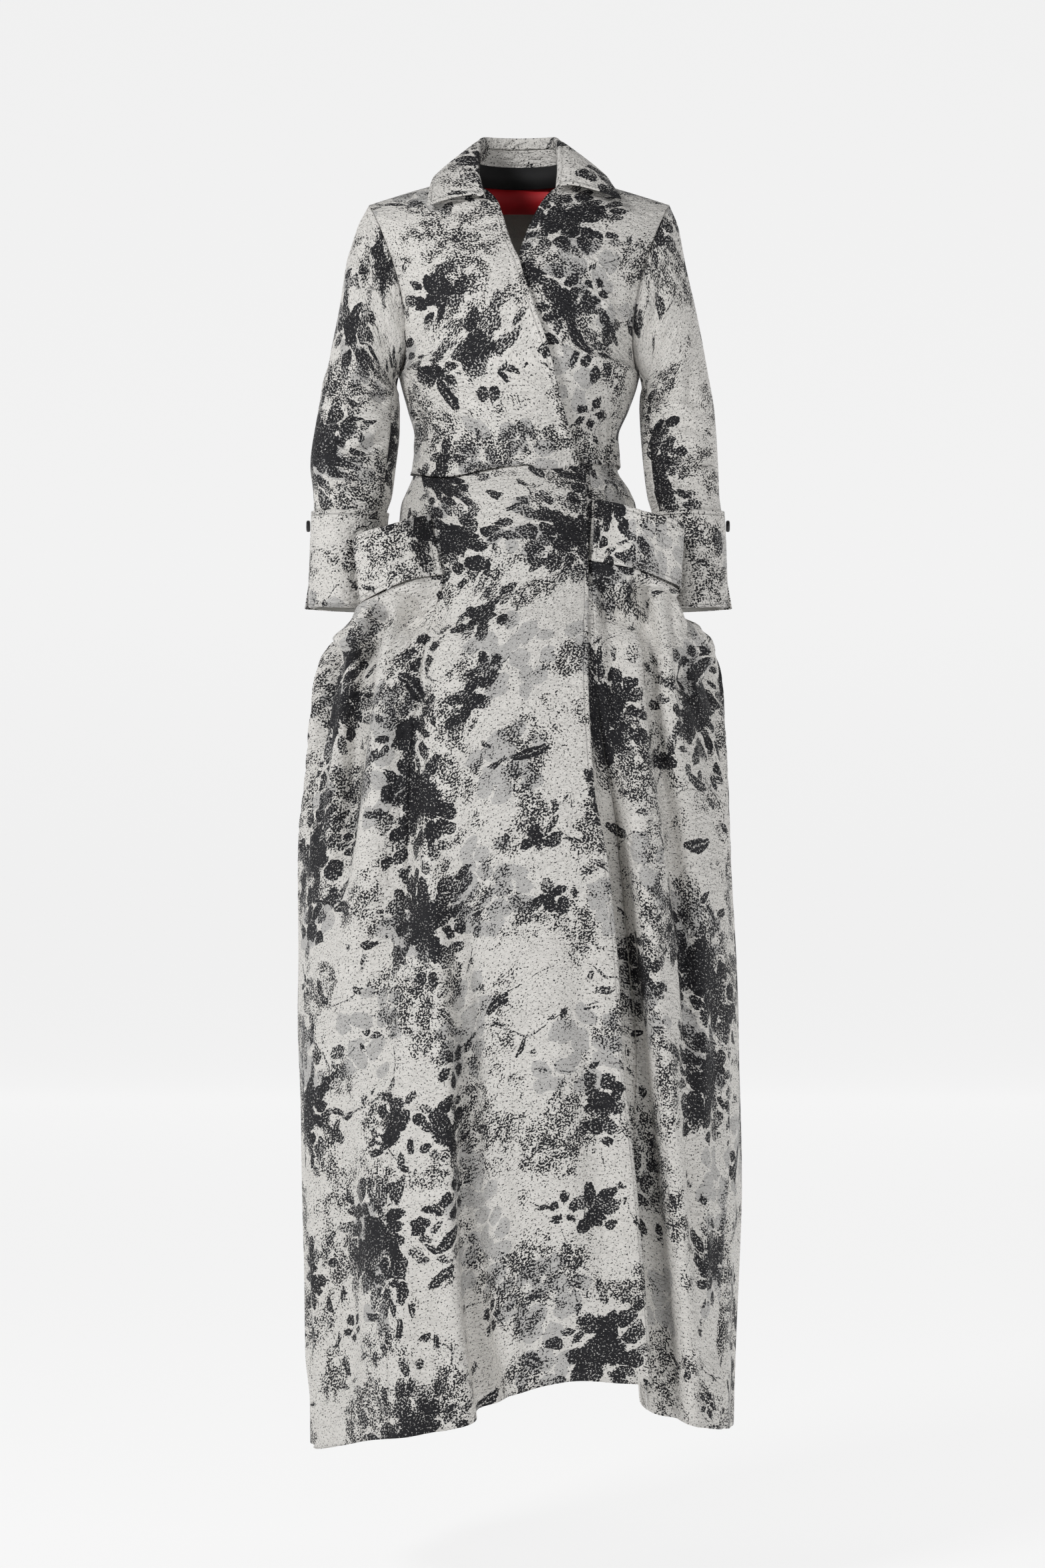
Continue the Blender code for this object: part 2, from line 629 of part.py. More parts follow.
def skirt_panel(left, right, top, columns, pocket, seam, lap=False):
    """A panel between two lines of angles, with one row level with the pocket at its seam."""
    s = np.linspace(0, 1, columns + 1)[None, :]
    v = panel_rows(KNEE_GUESS)
    height = lerp(HEM_GUESS, WAIST_GUESS, v) + 0 * s
    for _ in range(5):
        angle = lerp(left(height), right(height), s)
        hem = HEM.read("height", (angle + 180) % 360 - 180)
        knee = (pocket - hem[0, seam]) / (top(angle)[-1, seam] - hem[0, seam])
        v = panel_rows(knee)
        height = lerp(hem[:1], top(angle)[-1:], v)
    radius = np.hypot(*np.moveaxis(skirt(height, angle, lap)[..., :2], -1, 0))
    angle = angle + np.degrees(SEAM_GAP / 2 / radius) * (1 - 2 * s)
    return skirt(height, angle, lap)


def waist_top(angle):
    """The top edge of the skirt, tucked up behind the bodice's edge."""
    x = WAIST_HALF * np.sin(np.radians(angle))
    front = WAIST.read("height", x)
    return np.where(np.abs(angle) < 90, front, BACK_WAIST) + WAIST_TUCK


def along(path, t):
    """A smooth line through a few points, by its length."""
    path = np.array(path, float)
    steps = np.linalg.norm(np.diff(path, axis=0), axis=1)
    keys = np.concatenate([[0], np.cumsum(steps)])
    keys = keys / keys[-1]
    table = Table("key x y z", *(tuple([k, *p]) for k, p in zip(keys, path)))
    return stack(table.read("x", t), table.read("y", t), table.read("z", t))


def seated(side, edge, t):
    """The band's path, with its inner end brought onto the skirt."""
    path = along(BANDS[side][edge], t)
    start = np.array(BANDS[side][edge][0], float)
    surface = skirt(start[2], angle_at(start[2], start[0]), lap=True)
    away = surface * np.array((1, 1, 0)) / np.linalg.norm(surface[:2])
    move = surface + away * BAND_SEAT[side] - start
    return path + move * (1 - ease(t * 4))[..., None]


def band_line(side, edge, t, off=0.0):
    """The band's edge in plan, moved out by off."""
    t = np.asarray(t, float)
    here = seated(side, edge, t)
    ahead = seated(side, edge, np.clip(t + 0.01, 0, 1))
    behind = seated(side, edge, np.clip(t - 0.01, 0, 1))
    way = ahead - behind
    normal = stack(way[..., 1], -way[..., 0], np.zeros_like(t))
    normal /= np.linalg.norm(normal, axis=-1, keepdims=True)
    if side == "left":
        normal = -normal
    return here + normal * off


def angle_of(points):
    return np.degrees(np.arctan2(points[..., 0] - SKIRT.read("shift", points[..., 2]), -points[..., 1]))


def seam_angle(side, height):
    seam = LEFT_SEAM if side == "left" else RIGHT_SEAM
    return angle_at(height, seam.read("x", height))


def hip_line(side, s):
    """The top edge of the full side: under the band, and on round the hip."""
    sign = -1 if side == "left" else 1
    front = band_line(side, "low", np.clip(s / BAND_SHARE, 0, 1), -SIDE_INSET)
    front[..., 2] += POCKET_TOP[side] - BANDS[side]["low"][0][2]
    start = skirt(POCKET_TOP[side], seam_angle(side, np.array(POCKET_TOP[side])))
    front = front + (start - front[0]) * (1 - ease(s * FOOT_EASE))[:, None]
    end = band_line(side, "low", np.array(1.0), -SIDE_INSET)
    end[2] = front[-1][2]
    end_angle = angle_of(end)
    t = np.clip((s - BAND_SHARE) / (1 - BAND_SHARE), 0, 1)
    angle = lerp(end_angle, sign * BACK_SEAM_ANGLE, t)
    height = lerp(end[2], HIP_FOOT, ease(t * 2))
    hip = skirt(height, angle)
    hip = hip + (end - skirt(end[2], end_angle)) * (1 - ease(t * 3))[:, None]
    return np.where((s <= BAND_SHARE)[:, None], front, hip)


def side_panel(side):
    """The full side of the skirt, hung from the band's lower edge and the hip."""
    sign = -1 if side == "left" else 1
    s = np.linspace(0, 1, SIDE_COLUMNS + 1)
    top = hip_line(side, s)
    top_angle = angle_of(top)
    base = lerp(seam_angle(side, top[0, 2]), sign * BACK_SEAM_ANGLE, s)
    v = LOW_SHARE[:, None]
    height = lerp(HEM_GUESS, top[None, :, 2], v)
    for _ in range(4):
        angle = lerp(seam_angle(side, height), sign * BACK_SEAM_ANGLE, s[None, :])
        angle = angle + (top_angle - base)[None, :] * ease((v - 0.6) / 0.4)
        height = lerp(HEM.read("height", angle)[:1], top[None, :, 2], v)
    radius = np.hypot(*np.moveaxis(skirt(height, angle)[..., :2], -1, 0))
    angle = angle + sign * np.degrees(SEAM_GAP / 2 / radius) * (1 - 2 * s[None, :])
    points = skirt(height, angle)
    share = ease((height - (top[None, :, 2] - HANG)) / HANG) ** 1.5
    points = points + (top - skirt(top[:, 2], top_angle))[None] * share[..., None]
    return points if sign > 0 else points[:, ::-1, :]


def hip_panel(side):
    """The close hip panel inside the pocket, turned out to the band at its foot."""
    sign = -1 if side == "left" else 1
    s = np.linspace(0, 1, SIDE_COLUMNS + 1)
    top = hip_line(side, s)
    top_angle = angle_of(top)
    way = np.gradient(top, axis=0) * sign
    out = stack(way[:, 1], -way[:, 0], 0 * s)
    out /= np.linalg.norm(out, axis=-1, keepdims=True)
    foot = top - out * FOOT_INSIDE * ease(s * FOOT_EASE)[:, None] + np.array((0, 0, FOOT_ABOVE))
    base = lerp(seam_angle(side, top[0, 2]), sign * BACK_SEAM_ANGLE, s)
    v = HIGH_SHARE[:, None]
    height = lerp(foot[None, :, 2], HIP_GUESS, v)
    for _ in range(4):
        angle = lerp(seam_angle(side, height), sign * BACK_SEAM_ANGLE, s[None, :])
        angle = angle + (top_angle - base)[None, :] * (1 - ease(v * 1.6))
        height = lerp(foot[None, :, 2], waist_top(angle)[-1:], v)
    radius = np.hypot(*np.moveaxis(skirt(height, angle)[..., :2], -1, 0))
    angle = angle + sign * np.degrees(SEAM_GAP / 2 / radius) * (1 - 2 * s[None, :])
    points = skirt(height, angle, lap=True)
    rise = (points[..., 2] - foot[None, :, 2]) / POCKET_FLOOR_RISE
    share = np.clip(1 - rise, 0, 1) ** 1.4
    points = points + (foot - points[0])[None] * share[..., None]
    return points if sign > 0 else points[:, ::-1, :]


def pocket_band(side):
    t = np.linspace(0, 1, BAND_COLUMNS + 1)
    low = band_line(side, "low", t, BAND_OFF)
    high = band_line(side, "high", t, BAND_OFF)
    v = np.linspace(0, 1, BAND_ROWS + 1)[:, None, None]
    points = lerp(low[None], high[None], v)
    surface = skirt(points[..., 2], angle_of(points), lap=True)
    near = np.hypot(surface[..., 0], surface[..., 1]) + BAND_SEAT[side]
    far = np.hypot(points[..., 0], points[..., 1])
    points[..., :2] *= np.maximum(1, near / far)[..., None]
    return points if side == "right" else points[:, ::-1, :]


def sleeve_point(side, part, angle):
    """A point of the sleeve: part is the way down it, angle 0 its outer line, 90 its front."""
    table = SLEEVES[side]
    sign = -1 if side == "left" else 1
    a = np.radians(angle)
    outer = stack(table.read("outer", part), table.read("middle", part),
                  table.read("outer_height", part))
    inner = stack(table.read("inner", part), table.read("middle", part),
                  table.read("inner_height", part))
    outer[..., 1] = lerp(SHOULDER_Y, outer[..., 1], ease(part / SHOULDER_PART))
    deep = table.read("deep", part)
    middle = (outer + inner) / 2
    point = middle + np.cos(a)[..., None] * (outer - inner) / 2
    point[..., 1] = point[..., 1] - np.sin(a) * deep
    near = 1 - ease(part / ARMHOLE_PART)
    front = np.array(ARMHOLE_FRONT)
    back = np.array(ARMHOLE_BACK)
    top = np.array((SHOULDER_X, SHOULDER_Y, SHOULDER_HEIGHT))
    low = np.array(UNDERARM)
    saddle = (front + back) / 2 - (top + low) / 2
    sway = (front - back) / 2
    sway[1] = 0
    square = np.sin(a) ** 2
    point = point + (near * square)[..., None] * saddle + (near * np.sin(a))[..., None] * sway
    return point * np.array((sign, 1, 1))


def sleeve(side, start, end, parts):
    angles = np.linspace(start, end, ARM_ROWS + 1)
    inset = math.degrees(TUBE_GAP / 2 / SLEEVES[side].read("deep", 0.5))
    angles = np.clip(angles, start + inset, end - inset)
    v = np.array(parts)[::-1, None]
    points = sleeve_point(side, v + 0 * angles[None, :], angles[None, :] + 0 * v)
    way = points[-2] - points[-1]
    points[-1] += way / np.linalg.norm(way, axis=-1, keepdims=True) * ARMHOLE_GAP
    low = np.clip(-np.cos(np.radians(angles)), 0, 1) ** 2
    points[-1, :, 0] += (-1 if side == "left" else 1) * UNDERARM_GAP * low
    return points[:, ::-1, :] if side == "right" else points


def cuff(side):
    """The turned-back cuff, open in a vent at its outer side."""
    v = np.linspace(1, 0, CUFF_ROWS + 1)[:, None]
    u = np.linspace(0, 1, CUFF_COLUMNS + 1)[None, :]
    part = lerp(CUFF_START, CUFF_END, v)
    opening = np.clip((v - (1 - VENT_TOP)) / VENT_TOP, 0, 1) ** 1.2
    half_gap = VENT_CLOSED + VENT_OPEN * opening
    angle = lerp(VENT_ANGLE + half_gap, VENT_ANGLE + 360 - half_gap, u)
    points = sleeve_point(side, part + 0 * u, angle)
    turned = (CUFF_LIFT[1] - CUFF_SEAT) * np.clip(1 - (1 - v) * CUFF_ROWS, 0, 1)
    out = lerp(CUFF_LIFT[0], CUFF_LIFT[1], v) - turned + VENT_FLARE * opening * u ** 8
    centre = (sleeve_point(side, part, 90 + 0 * part) + sleeve_point(side, part, 270 + 0 * part)) / 2
    away = points - centre
    away[..., 2] = 0
    away /= np.linalg.norm(away, axis=-1, keepdims=True)
    points = points + away * (out + 0 * u)[..., None]
    return points[:, ::-1, :] if side == "right" else points


def neck_line(table, turn):
    return stack(table.read("x", turn), table.read("y", turn), table.read("height", turn))


def tuck(turn):
    """How far the leaf goes down inside, less at its two ends."""
    near = ease(np.minimum(turn, 1 - turn) / LEAF_TUCK_TURN)
    return lerp(LEAF_TUCK_END, LEAF_TUCK, near)[:, None]


def collar_leaf():
    """From the stand up inside, over the roll and down to the pointed edge."""
    turn = np.linspace(0, 1, LEAF_COLUMNS + 1)
    roll = neck_line(ROLL_LINE, turn)
    edge = neck_line(LEAF_EDGE, turn)
    fall = edge - roll
    flat = fall * np.array((1, 1, 0))
    flat /= np.linalg.norm(flat, axis=-1, keepdims=True)
    up = np.array((0, 0, 1.0))
    inside = tuck(turn)
    rows = [edge]
    for share, swell in LEAF_ROWS:
        rows.append(roll + fall * share + up * swell + flat * swell * 0.4)
    for out, rise in ROLL_ROWS:
        rows.append(roll + flat * out + up * rise)
    rows.append(roll - flat * ROLL_INSIDE - up * inside)
    return np.array(rows)


def collar_stand():
    turn = np.linspace(*STAND_TURNS, STAND_COLUMNS + 1)
    roll = neck_line(ROLL_LINE, turn)
    seam = neck_line(NECK_SEAM, turn)
    flat = (neck_line(LEAF_EDGE, turn) - roll) * np.array((1, 1, 0))
    flat /= np.linalg.norm(flat, axis=-1, keepdims=True)
    up = np.array((0, 0, 1.0))
    inside = tuck(turn)
    high = roll - flat * ROLL_INSIDE - up * (inside + STAND_GAP)
    low = seam + up * STAND_LOW[1] - flat * STAND_LOW[0]
    v = np.linspace(0, 1, STAND_ROWS + 1)[:, None, None]
    return lerp(low[None], high[None], v)


def inner_back(turns, heights, inset):
    """A strip inside the back of the neck, in from the stand and the back."""
    turn = np.linspace(*turns, TAPE_COLUMNS + 1)[None, :]
    height = np.array(heights)[:, None]
    seam = neck_line(NECK_SEAM, turn)
    roll = neck_line(ROLL_LINE, turn)
    share = (height - seam[..., 2]) / (roll[..., 2] - seam[..., 2])
    points = lerp(seam, roll, np.clip(share, 0, 1)[..., None])
    points[..., 2] = height + 0 * turn
    flat = (neck_line(LEAF_EDGE, turn) - roll) * np.array((1, 1, 0))
    flat /= np.linalg.norm(flat, axis=-1, keepdims=True)
    return points - flat * inset


def label_patch():
    x = np.linspace(LABEL_HALF, -LABEL_HALF, LABEL_COLUMNS + 1)[None, :]
    height = np.array(LABEL_HEIGHTS)[:, None] + 0 * x
    level = level_of(BACK, x, height)
    points = torso(BACK, level, turn_of(BACK, level, x + 0 * height))
    points[..., 2] = height
    tape = neck_line(NECK_SEAM, np.array(0.5))[1] - TAPE_INSET
    points[..., 1] = np.minimum(points[..., 1] - LABEL_INSET, tape + LABEL_BEHIND)
    return points


def add_material(obj, colour, roughness):
    material = bpy.data.materials.new(obj.name + "_finish")
    material.use_nodes = True
    shader = material.node_tree.nodes["Principled BSDF"]
    shader.inputs["Base Color"].default_value = (*colour, 1)
    shader.inputs["Roughness"].default_value = roughness
    obj.data.materials.append(material)


def keep(name, bm, colour, roughness=0.6):
    mesh = bpy.data.meshes.new(name)
    bm.to_mesh(mesh)
    bm.free()
    mesh.shade_smooth()
    obj = bpy.data.objects.new(name, mesh)
    dress.objects.link(obj)
    add_material(obj, colour, roughness)
    return obj


def sew(name, points, colour=WHITE, wall=CLOTH):
    """A cloth piece: a grid laid on its points, with its wall on the inside."""
    rows, columns = points.shape[0] - 1, points.shape[1] - 1
    bm = bmesh.new()
    bmesh.ops.create_grid(bm, x_segments=columns, y_segments=rows, size=1.0)
    for vert in bm.verts:
        i = round((vert.co.x + 1) / 2 * columns)
        j = round((vert.co.y + 1) / 2 * rows)
        x, y, z = points[j, i]
        vert.co = (x * MM, y * MM, (z - HOLD_HEIGHT) * MM)
    obj = keep(name, bm, colour)
    shell = obj.modifiers.new("wall", "SOLIDIFY")
    shell.thickness = wall * MM
    shell.offset = -1.0
    return obj


def button(side):
    """A small domed button on the outer side of the cuff, beside its vent."""
    part = np.array(lerp(CUFF_END, CUFF_START, BUTTON_UP))
    sign = -1 if side == "left" else 1
    here = sleeve_point(side, part, np.array(VENT_ANGLE + BUTTON_TURN))
    x, y, z = here + np.array((sign * (CUFF_LIFT[0] + BUTTON_THICK / 2 + BUTTON_OFF), 0, 0))
    bm = bmesh.new()
    bmesh.ops.create_cone(bm, cap_ends=True, segments=20, radius1=BUTTON_RADIUS * MM,
                          radius2=BUTTON_RADIUS * MM, depth=BUTTON_THICK * MM)
    place = Matrix.Translation(Vector((x, y, z - HOLD_HEIGHT)) * MM)
    bmesh.ops.transform(bm, matrix=place @ Matrix.Rotation(math.radians(90), 4, "Y"), verts=bm.verts)
    obj = keep(f"button_{side}", bm, INK, 0.35)
    bevel = obj.modifiers.new("edge", "BEVEL")
    bevel.width = BUTTON_EDGE * MM
    bevel.segments = 2


def make_bodice():
    sew("bodice_front_over", bodice_front(-1, OVER_EDGE, FRONT_COLUMNS, LAP_LIFT))
    sew("bodice_front_under", bodice_front(1, UNDER_EDGE, FRONT_COLUMNS, 0))
    sew("bodice_back", bodice_back(BACK_COLUMNS))


def make_neck():
    sew("collar_leaf", collar_leaf())
    sew("collar_stand", collar_stand())
    sew("neck_tape", inner_back(TAPE_TURNS, TAPE_HEIGHTS, TAPE_INSET), INK, 0.8)
    sew("neck_label", label_patch(), RED, 0.8)


def make_sleeves():
    for side in ("left", "right"):
        sew(f"sleeve_front_{side}", sleeve(side, SLEEVE_SEAM_OUTER, SLEEVE_SEAM_INNER, SLEEVE_PARTS))
        sew(f"sleeve_back_{side}",
            sleeve(side, SLEEVE_SEAM_INNER, SLEEVE_SEAM_OUTER + 360, SLEEVE_PARTS))
        sew(f"cuff_{side}", cuff(side))
        button(side)


def back_edge(turns):
    """A straight edge down the back, as an angle for each height."""
    return lambda height: turns + 0 * height


def make_skirt():
    over = skirt_panel(lambda h: seam_angle("left", h), wrap_angle, waist_top, OVER_COLUMNS,
                       POCKET_TOP["left"], 0, lap=True)
    sew("skirt_front_over", push(over, LAP_LIFT * beyond(over[..., 0], SKIRT_LAP)))
    under = skirt_panel(lambda h: angle_at(h, UNDER_PANEL_EDGE.read("x", h)),
                        lambda h: seam_angle("right", h), waist_top, UNDER_COLUMNS,
                        POCKET_TOP["right"], -1)
    sew("skirt_front_under", under)
    for side, start, end, seam in (("right", BACK_SEAM_ANGLE, 180.0, 0),
                                   ("left", 180.0, 360 - BACK_SEAM_ANGLE, -1)):
        half_back = skirt_panel(back_edge(start), back_edge(end), back_edge(waist_top(180.0)),
                                HALF_COLUMNS, HIP_FOOT, seam)
        sew(f"skirt_back_{side}", half_back)
    for side in ("left", "right"):
        sew(f"skirt_side_{side}", side_panel(side))
        sew(f"hip_panel_{side}", hip_panel(side))
        sew(f"pocket_band_{side}", pocket_band(side))


for old in list(bpy.data.objects):
    bpy.data.objects.remove(old)
dress = bpy.data.collections.new("maxi_dress")
bpy.context.scene.collection.children.link(dress)
make_bodice()
make_neck()
make_sleeves()
make_skirt()
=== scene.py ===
# %% [markdown]
# # A wrap maxi dress in blistered floral jacquard
# The dress is a fitted wrap bodice with a shirt collar, bent sleeves with deep turned-back
# cuffs, two stand-away pocket bands and a long full skirt that is gathered below them. The
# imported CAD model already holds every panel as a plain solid. This script sews the same
# panels again as fine cloth shells with creases, hems and a woven print, and stands each one
# in the place of its solid.

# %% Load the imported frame
import math

import bmesh
import bpy
import numpy as np
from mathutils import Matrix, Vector


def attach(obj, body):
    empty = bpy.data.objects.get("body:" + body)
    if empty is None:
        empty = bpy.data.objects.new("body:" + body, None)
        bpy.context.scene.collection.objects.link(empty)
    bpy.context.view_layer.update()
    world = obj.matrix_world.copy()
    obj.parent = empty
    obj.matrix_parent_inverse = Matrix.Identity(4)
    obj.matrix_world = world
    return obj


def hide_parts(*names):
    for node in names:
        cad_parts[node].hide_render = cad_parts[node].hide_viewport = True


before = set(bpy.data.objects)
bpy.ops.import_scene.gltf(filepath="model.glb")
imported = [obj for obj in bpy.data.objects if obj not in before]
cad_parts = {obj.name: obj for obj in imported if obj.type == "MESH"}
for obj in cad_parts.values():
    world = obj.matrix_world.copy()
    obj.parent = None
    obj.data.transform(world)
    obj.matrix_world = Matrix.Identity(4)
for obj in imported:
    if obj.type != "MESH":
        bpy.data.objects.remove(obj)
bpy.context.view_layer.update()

# %% [markdown]
# ## Camera
# The photograph is a studio front view from waist height with a long lens, so upright lines
# stay upright. The camera looks straight along +Y. Its lens is worked out from the size of
# one photograph pixel on the dress, 0.81 mm, over the picture's 2352 rows.

# %% Camera
MM = 0.001
HOLD_HEIGHT = 1547.0        # the origin above the ground line, in millimetres
PIXEL_MM = 0.81
PHOTO_ROWS = 2352
CAMERA_BACK = 4.5
CAMERA_SIDE = 4.0           # right of the dress's middle, in millimetres
CAMERA_HEIGHT = 806.0       # above the ground line, in millimetres
SENSOR = 36.0
camera_data = bpy.data.cameras.new("camera")
camera_data.sensor_fit = "VERTICAL"
camera_data.sensor_height = SENSOR
camera_data.lens = SENSOR * CAMERA_BACK / (PHOTO_ROWS * PIXEL_MM * MM)
camera = bpy.data.objects.new("camera", camera_data)
camera.location = (CAMERA_SIDE * MM, -CAMERA_BACK, (CAMERA_HEIGHT - HOLD_HEIGHT) * MM)
camera.rotation_euler = (math.radians(90), 0, 0)
bpy.context.scene.collection.objects.link(camera)
bpy.context.scene.camera = camera
print("lens:", round(camera_data.lens, 2), "mm")

# %% [markdown]
# ## Floor, backdrop and light
# A product studio is a pale sweep: a floor that curves up into a wall with no corner. One
# grid does it, bent upward far behind the dress. The paper glows a little by itself, which
# stands for the lamps that a studio turns on its backdrop. The key light is to the left and
# a little above, so that it rakes across the folds and the small blisters show. A wide fill
# on the right keeps their shadows soft, and two faint lamps behind light the edges.

# %% Sweep
FLOOR_DROP = 0.16           # the floor below the ground line, because the dress hangs free
SWEEP_RADIUS = 1.6
SWEEP_BACK = 7.0            # so far that a camera behind the dress still stands before it
SWEEP_FRONT = 7.0
SWEEP_LENGTH = 21.0
SWEEP_HALF_WIDTH = 7.0
SWEEP_COLUMNS, SWEEP_ROWS = 4, 120
PAPER_GREY, PAPER_ROUGHNESS, PAPER_GLOW = 0.16, 0.9, 0.80


def sweep_point(distance):
    """Along the floor, then round the bend, then up the wall."""
    floor = -HOLD_HEIGHT * MM - FLOOR_DROP
    if distance < SWEEP_BACK:
        return distance, floor
    turn = min((distance - SWEEP_BACK) / SWEEP_RADIUS, math.pi / 2)
    rest = distance - SWEEP_BACK - turn * SWEEP_RADIUS
    return SWEEP_BACK + SWEEP_RADIUS * math.sin(turn), floor + SWEEP_RADIUS * (1 - math.cos(turn)) + rest


bm = bmesh.new()
bmesh.ops.create_grid(bm, x_segments=SWEEP_COLUMNS, y_segments=SWEEP_ROWS, size=1.0)
for vert in bm.verts:
    y, z = sweep_point((vert.co.y + 1) / 2 * SWEEP_LENGTH - SWEEP_FRONT)
    vert.co = (vert.co.x * SWEEP_HALF_WIDTH, y, z)
sweep_mesh = bpy.data.meshes.new("sweep")
bm.to_mesh(sweep_mesh)
bm.free()
sweep_mesh.shade_smooth()
sweep = bpy.data.objects.new("sweep", sweep_mesh)
bpy.context.scene.collection.objects.link(sweep)

paper = bpy.data.materials.new("studio_paper")
paper.use_nodes = True
paper_shader = paper.node_tree.nodes["Principled BSDF"]
paper_shader.inputs["Base Color"].default_value = (PAPER_GREY, PAPER_GREY, PAPER_GREY, 1)
paper_shader.inputs["Roughness"].default_value = PAPER_ROUGHNESS
paper_shader.inputs["Emission Color"].default_value = (1, 1, 1, 1)
paper_shader.inputs["Emission Strength"].default_value = PAPER_GLOW
sweep_mesh.materials.append(paper)
print("floor at", round(sweep_point(0)[1], 3), "m")

# %% Lights
AIR_LIGHT = 0.15
AIM = (0, 0, -0.75)         # the lamps point at the middle of the dress
world = bpy.data.worlds.new("studio_air")
bpy.context.scene.world = world
world.use_nodes = True
world.node_tree.nodes["Background"].inputs["Color"].default_value = (1, 1, 1, 1)
world.node_tree.nodes["Background"].inputs["Strength"].default_value = AIR_LIGHT
bpy.context.scene.view_settings.view_transform = "Standard"

LIGHTS = (
    # name, place and size in metres, watts
    ("key", (-2.4, -2.7, 1.7), 1.0, 90),
    ("fill", (2.2, -3.0, -0.2), 2.2, 27),
    ("edge_left", (-2.6, 0.6, -0.3), 1.4, 12),
    ("edge_right", (2.6, 0.9, 0.2), 1.4, 12),
)
for name, place, size, watts in LIGHTS:
    lamp = bpy.data.lights.new(name, "AREA")
    lamp.size = size
    lamp.energy = watts
    light = bpy.data.objects.new(name, lamp)
    light.location = place
    aim = Vector(AIM) - Vector(place)
    light.rotation_euler = aim.to_track_quat("-Z", "Y").to_euler()
    bpy.context.scene.collection.objects.link(light)
print(len(LIGHTS), "soft lights")

# %% [markdown]
# ## Measurements of the garment
# A dress is drafted from a few body measurements at named levels. The tables below hold
# them in millimetres above the ground line, the same ones that the CAD model is drafted
# from, and a small class reads them smoothly between the rows. A table is easier to correct
# against a photograph than a spline would be, because each row is a level of the body.

# %% A table that reads smoothly between its rows
class Table:
    """Rows with named columns, read smoothly between the rows by the first column."""

    def __init__(self, names, *rows):
        self.names = names.split()
        self.rows = np.array(sorted(rows), float)

    def read(self, name, at):
        keys = self.rows[:, 0]
        values = self.rows[:, self.names.index(name)]
        step = np.diff(keys)
        slope = np.diff(values) / step
        product = slope[:-1] * slope[1:]
        total = slope[:-1] + slope[1:]
        tangent = np.zeros(len(keys))
        tangent[1:-1] = np.where(product > 0, 2 * product / np.where(total == 0, 1, total), 0)
        tangent[0], tangent[-1] = slope[0], slope[-1]
        x = np.clip(np.asarray(at, float), keys[0], keys[-1])
        k = np.clip(np.searchsorted(keys, x, side="right") - 1, 0, len(keys) - 2)
        t = (x - keys[k]) / step[k]
        rise = values[k] * (1 + 2 * t) * (1 - t) ** 2 + values[k + 1] * t ** 2 * (3 - 2 * t)
        bend = tangent[k] * t * (1 - t) ** 2 + tangent[k + 1] * t ** 2 * (t - 1)
        return rise + bend * step[k]


def lerp(a, b, t):
    return a + (b - a) * t


def ease(t):
    t = np.clip(t, 0.0, 1.0)
    return t * t * (3 - 2 * t)


def beyond(x, edge):
    """Rises from 0 to 1 past a place, over a width."""
    return ease((x - edge[0]) / edge[1])


print("half way up a bend:", Table("x y", (0, 0), (1, 1), (2, 4)).read("y", 1.5))

# %% Small helpers for points and angles
HALVINGS = 30               # steps of a search for a level or an angle
SIGN = {"left": -1, "right": 1}         # which way X runs on each side of the picture


def stack(x, y, z):
    x, y, z = np.broadcast_arrays(x, y, z)
    return np.stack([x, y, z], axis=-1)


def unit(vectors):
    return vectors / np.linalg.norm(vectors, axis=-1, keepdims=True)


def level_part(vectors):
    """The same vectors laid flat, one unit long."""
    return unit(vectors * np.array((1, 1, 0)))


def half_turns(angle):
    """The same angle, between -180 and 180 degrees."""
    return (angle + 180) % 360 - 180


def halve(low, high, below):
    """Close in on the place between two bounds where a rising measure passes its aim."""
    for _ in range(HALVINGS):
        middle = (low + high) / 2
        under = below(middle)
        low = np.where(under, middle, low)
        high = np.where(under, high, middle)
    return (low + high) / 2


print("a turn of 200 degrees is", half_turns(200.0))

# %% Driving sizes
CLOTH = 1.6                 # wall of every cloth piece
SHOULDER_X, SHOULDER_HEIGHT = 183.0, 1510.0
SHOULDER_Y = 8.0
NECK_X = 62.0               # the shoulder seam's inner end
UNDERARM = (146.0, 2.0, 1300.0)
ARMHOLE_FRONT = (140.0, -52.0, 1385.0)
ARMHOLE_BACK = (152.0, 58.0, 1395.0)
CHEST_FLAT = 0.07           # how much flatter than an ellipse the chest is
CHEST_START = (0.1, 0.25)   # the level where that begins, and over how many levels
SHOULDER_POWER = 1.3        # how late the shoulder line drops on its way out
BACK_NECK_DROP = 0.11       # how far the back neckline dips, in torso levels
WAIST_SIDE_X = 124.0        # where the side seam meets the waist
WAIST_HALF = 121.0          # half the waist's width inside the seam
BEYOND = 200.0              # further out than any side seam
SEAM_GAP = 0.35             # left between two pieces at a seam
SIDE_GAP, SHOULDER_GAP = 0.6, 1.3   # each piece's share, where the walls lean together
LAP_LIFT = 3.8              # how far the overlapping front stands off the one below
LAP_SIDE = (-62.0, 40.0)    # where it starts to stand off, and over what width
LAP_NECK = (1530.0, 60.0)   # the same below the neck, by height
SKIRT_LAP = (-60.0, 50.0)   # and on the skirt
WAIST_LIP = 4.2             # how far the bodice's edge stands out over the skirt
LIP_START = (70.0, 20.0)    # where the edge of the front below begins to stand out
WAIST_TUCK = 2.0            # how far the skirt goes up behind it
UNDER_RAISE = 5.0           # the under front ends this much higher where it is covered
UNDER_HIDDEN = (74.0, 8.0)  # where it comes out from under the other one
VALLEY_OFF = 3.5            # degrees from the wrap edge to the valley beside it
KNEE_GUESS, HEM_GUESS, WAIST_GUESS, HIP_GUESS = 0.88, 60.0, 1185.0, 1180.0
PANEL_ROUNDS, SIDE_ROUNDS = 5, 4        # in which a panel's rows and angles settle
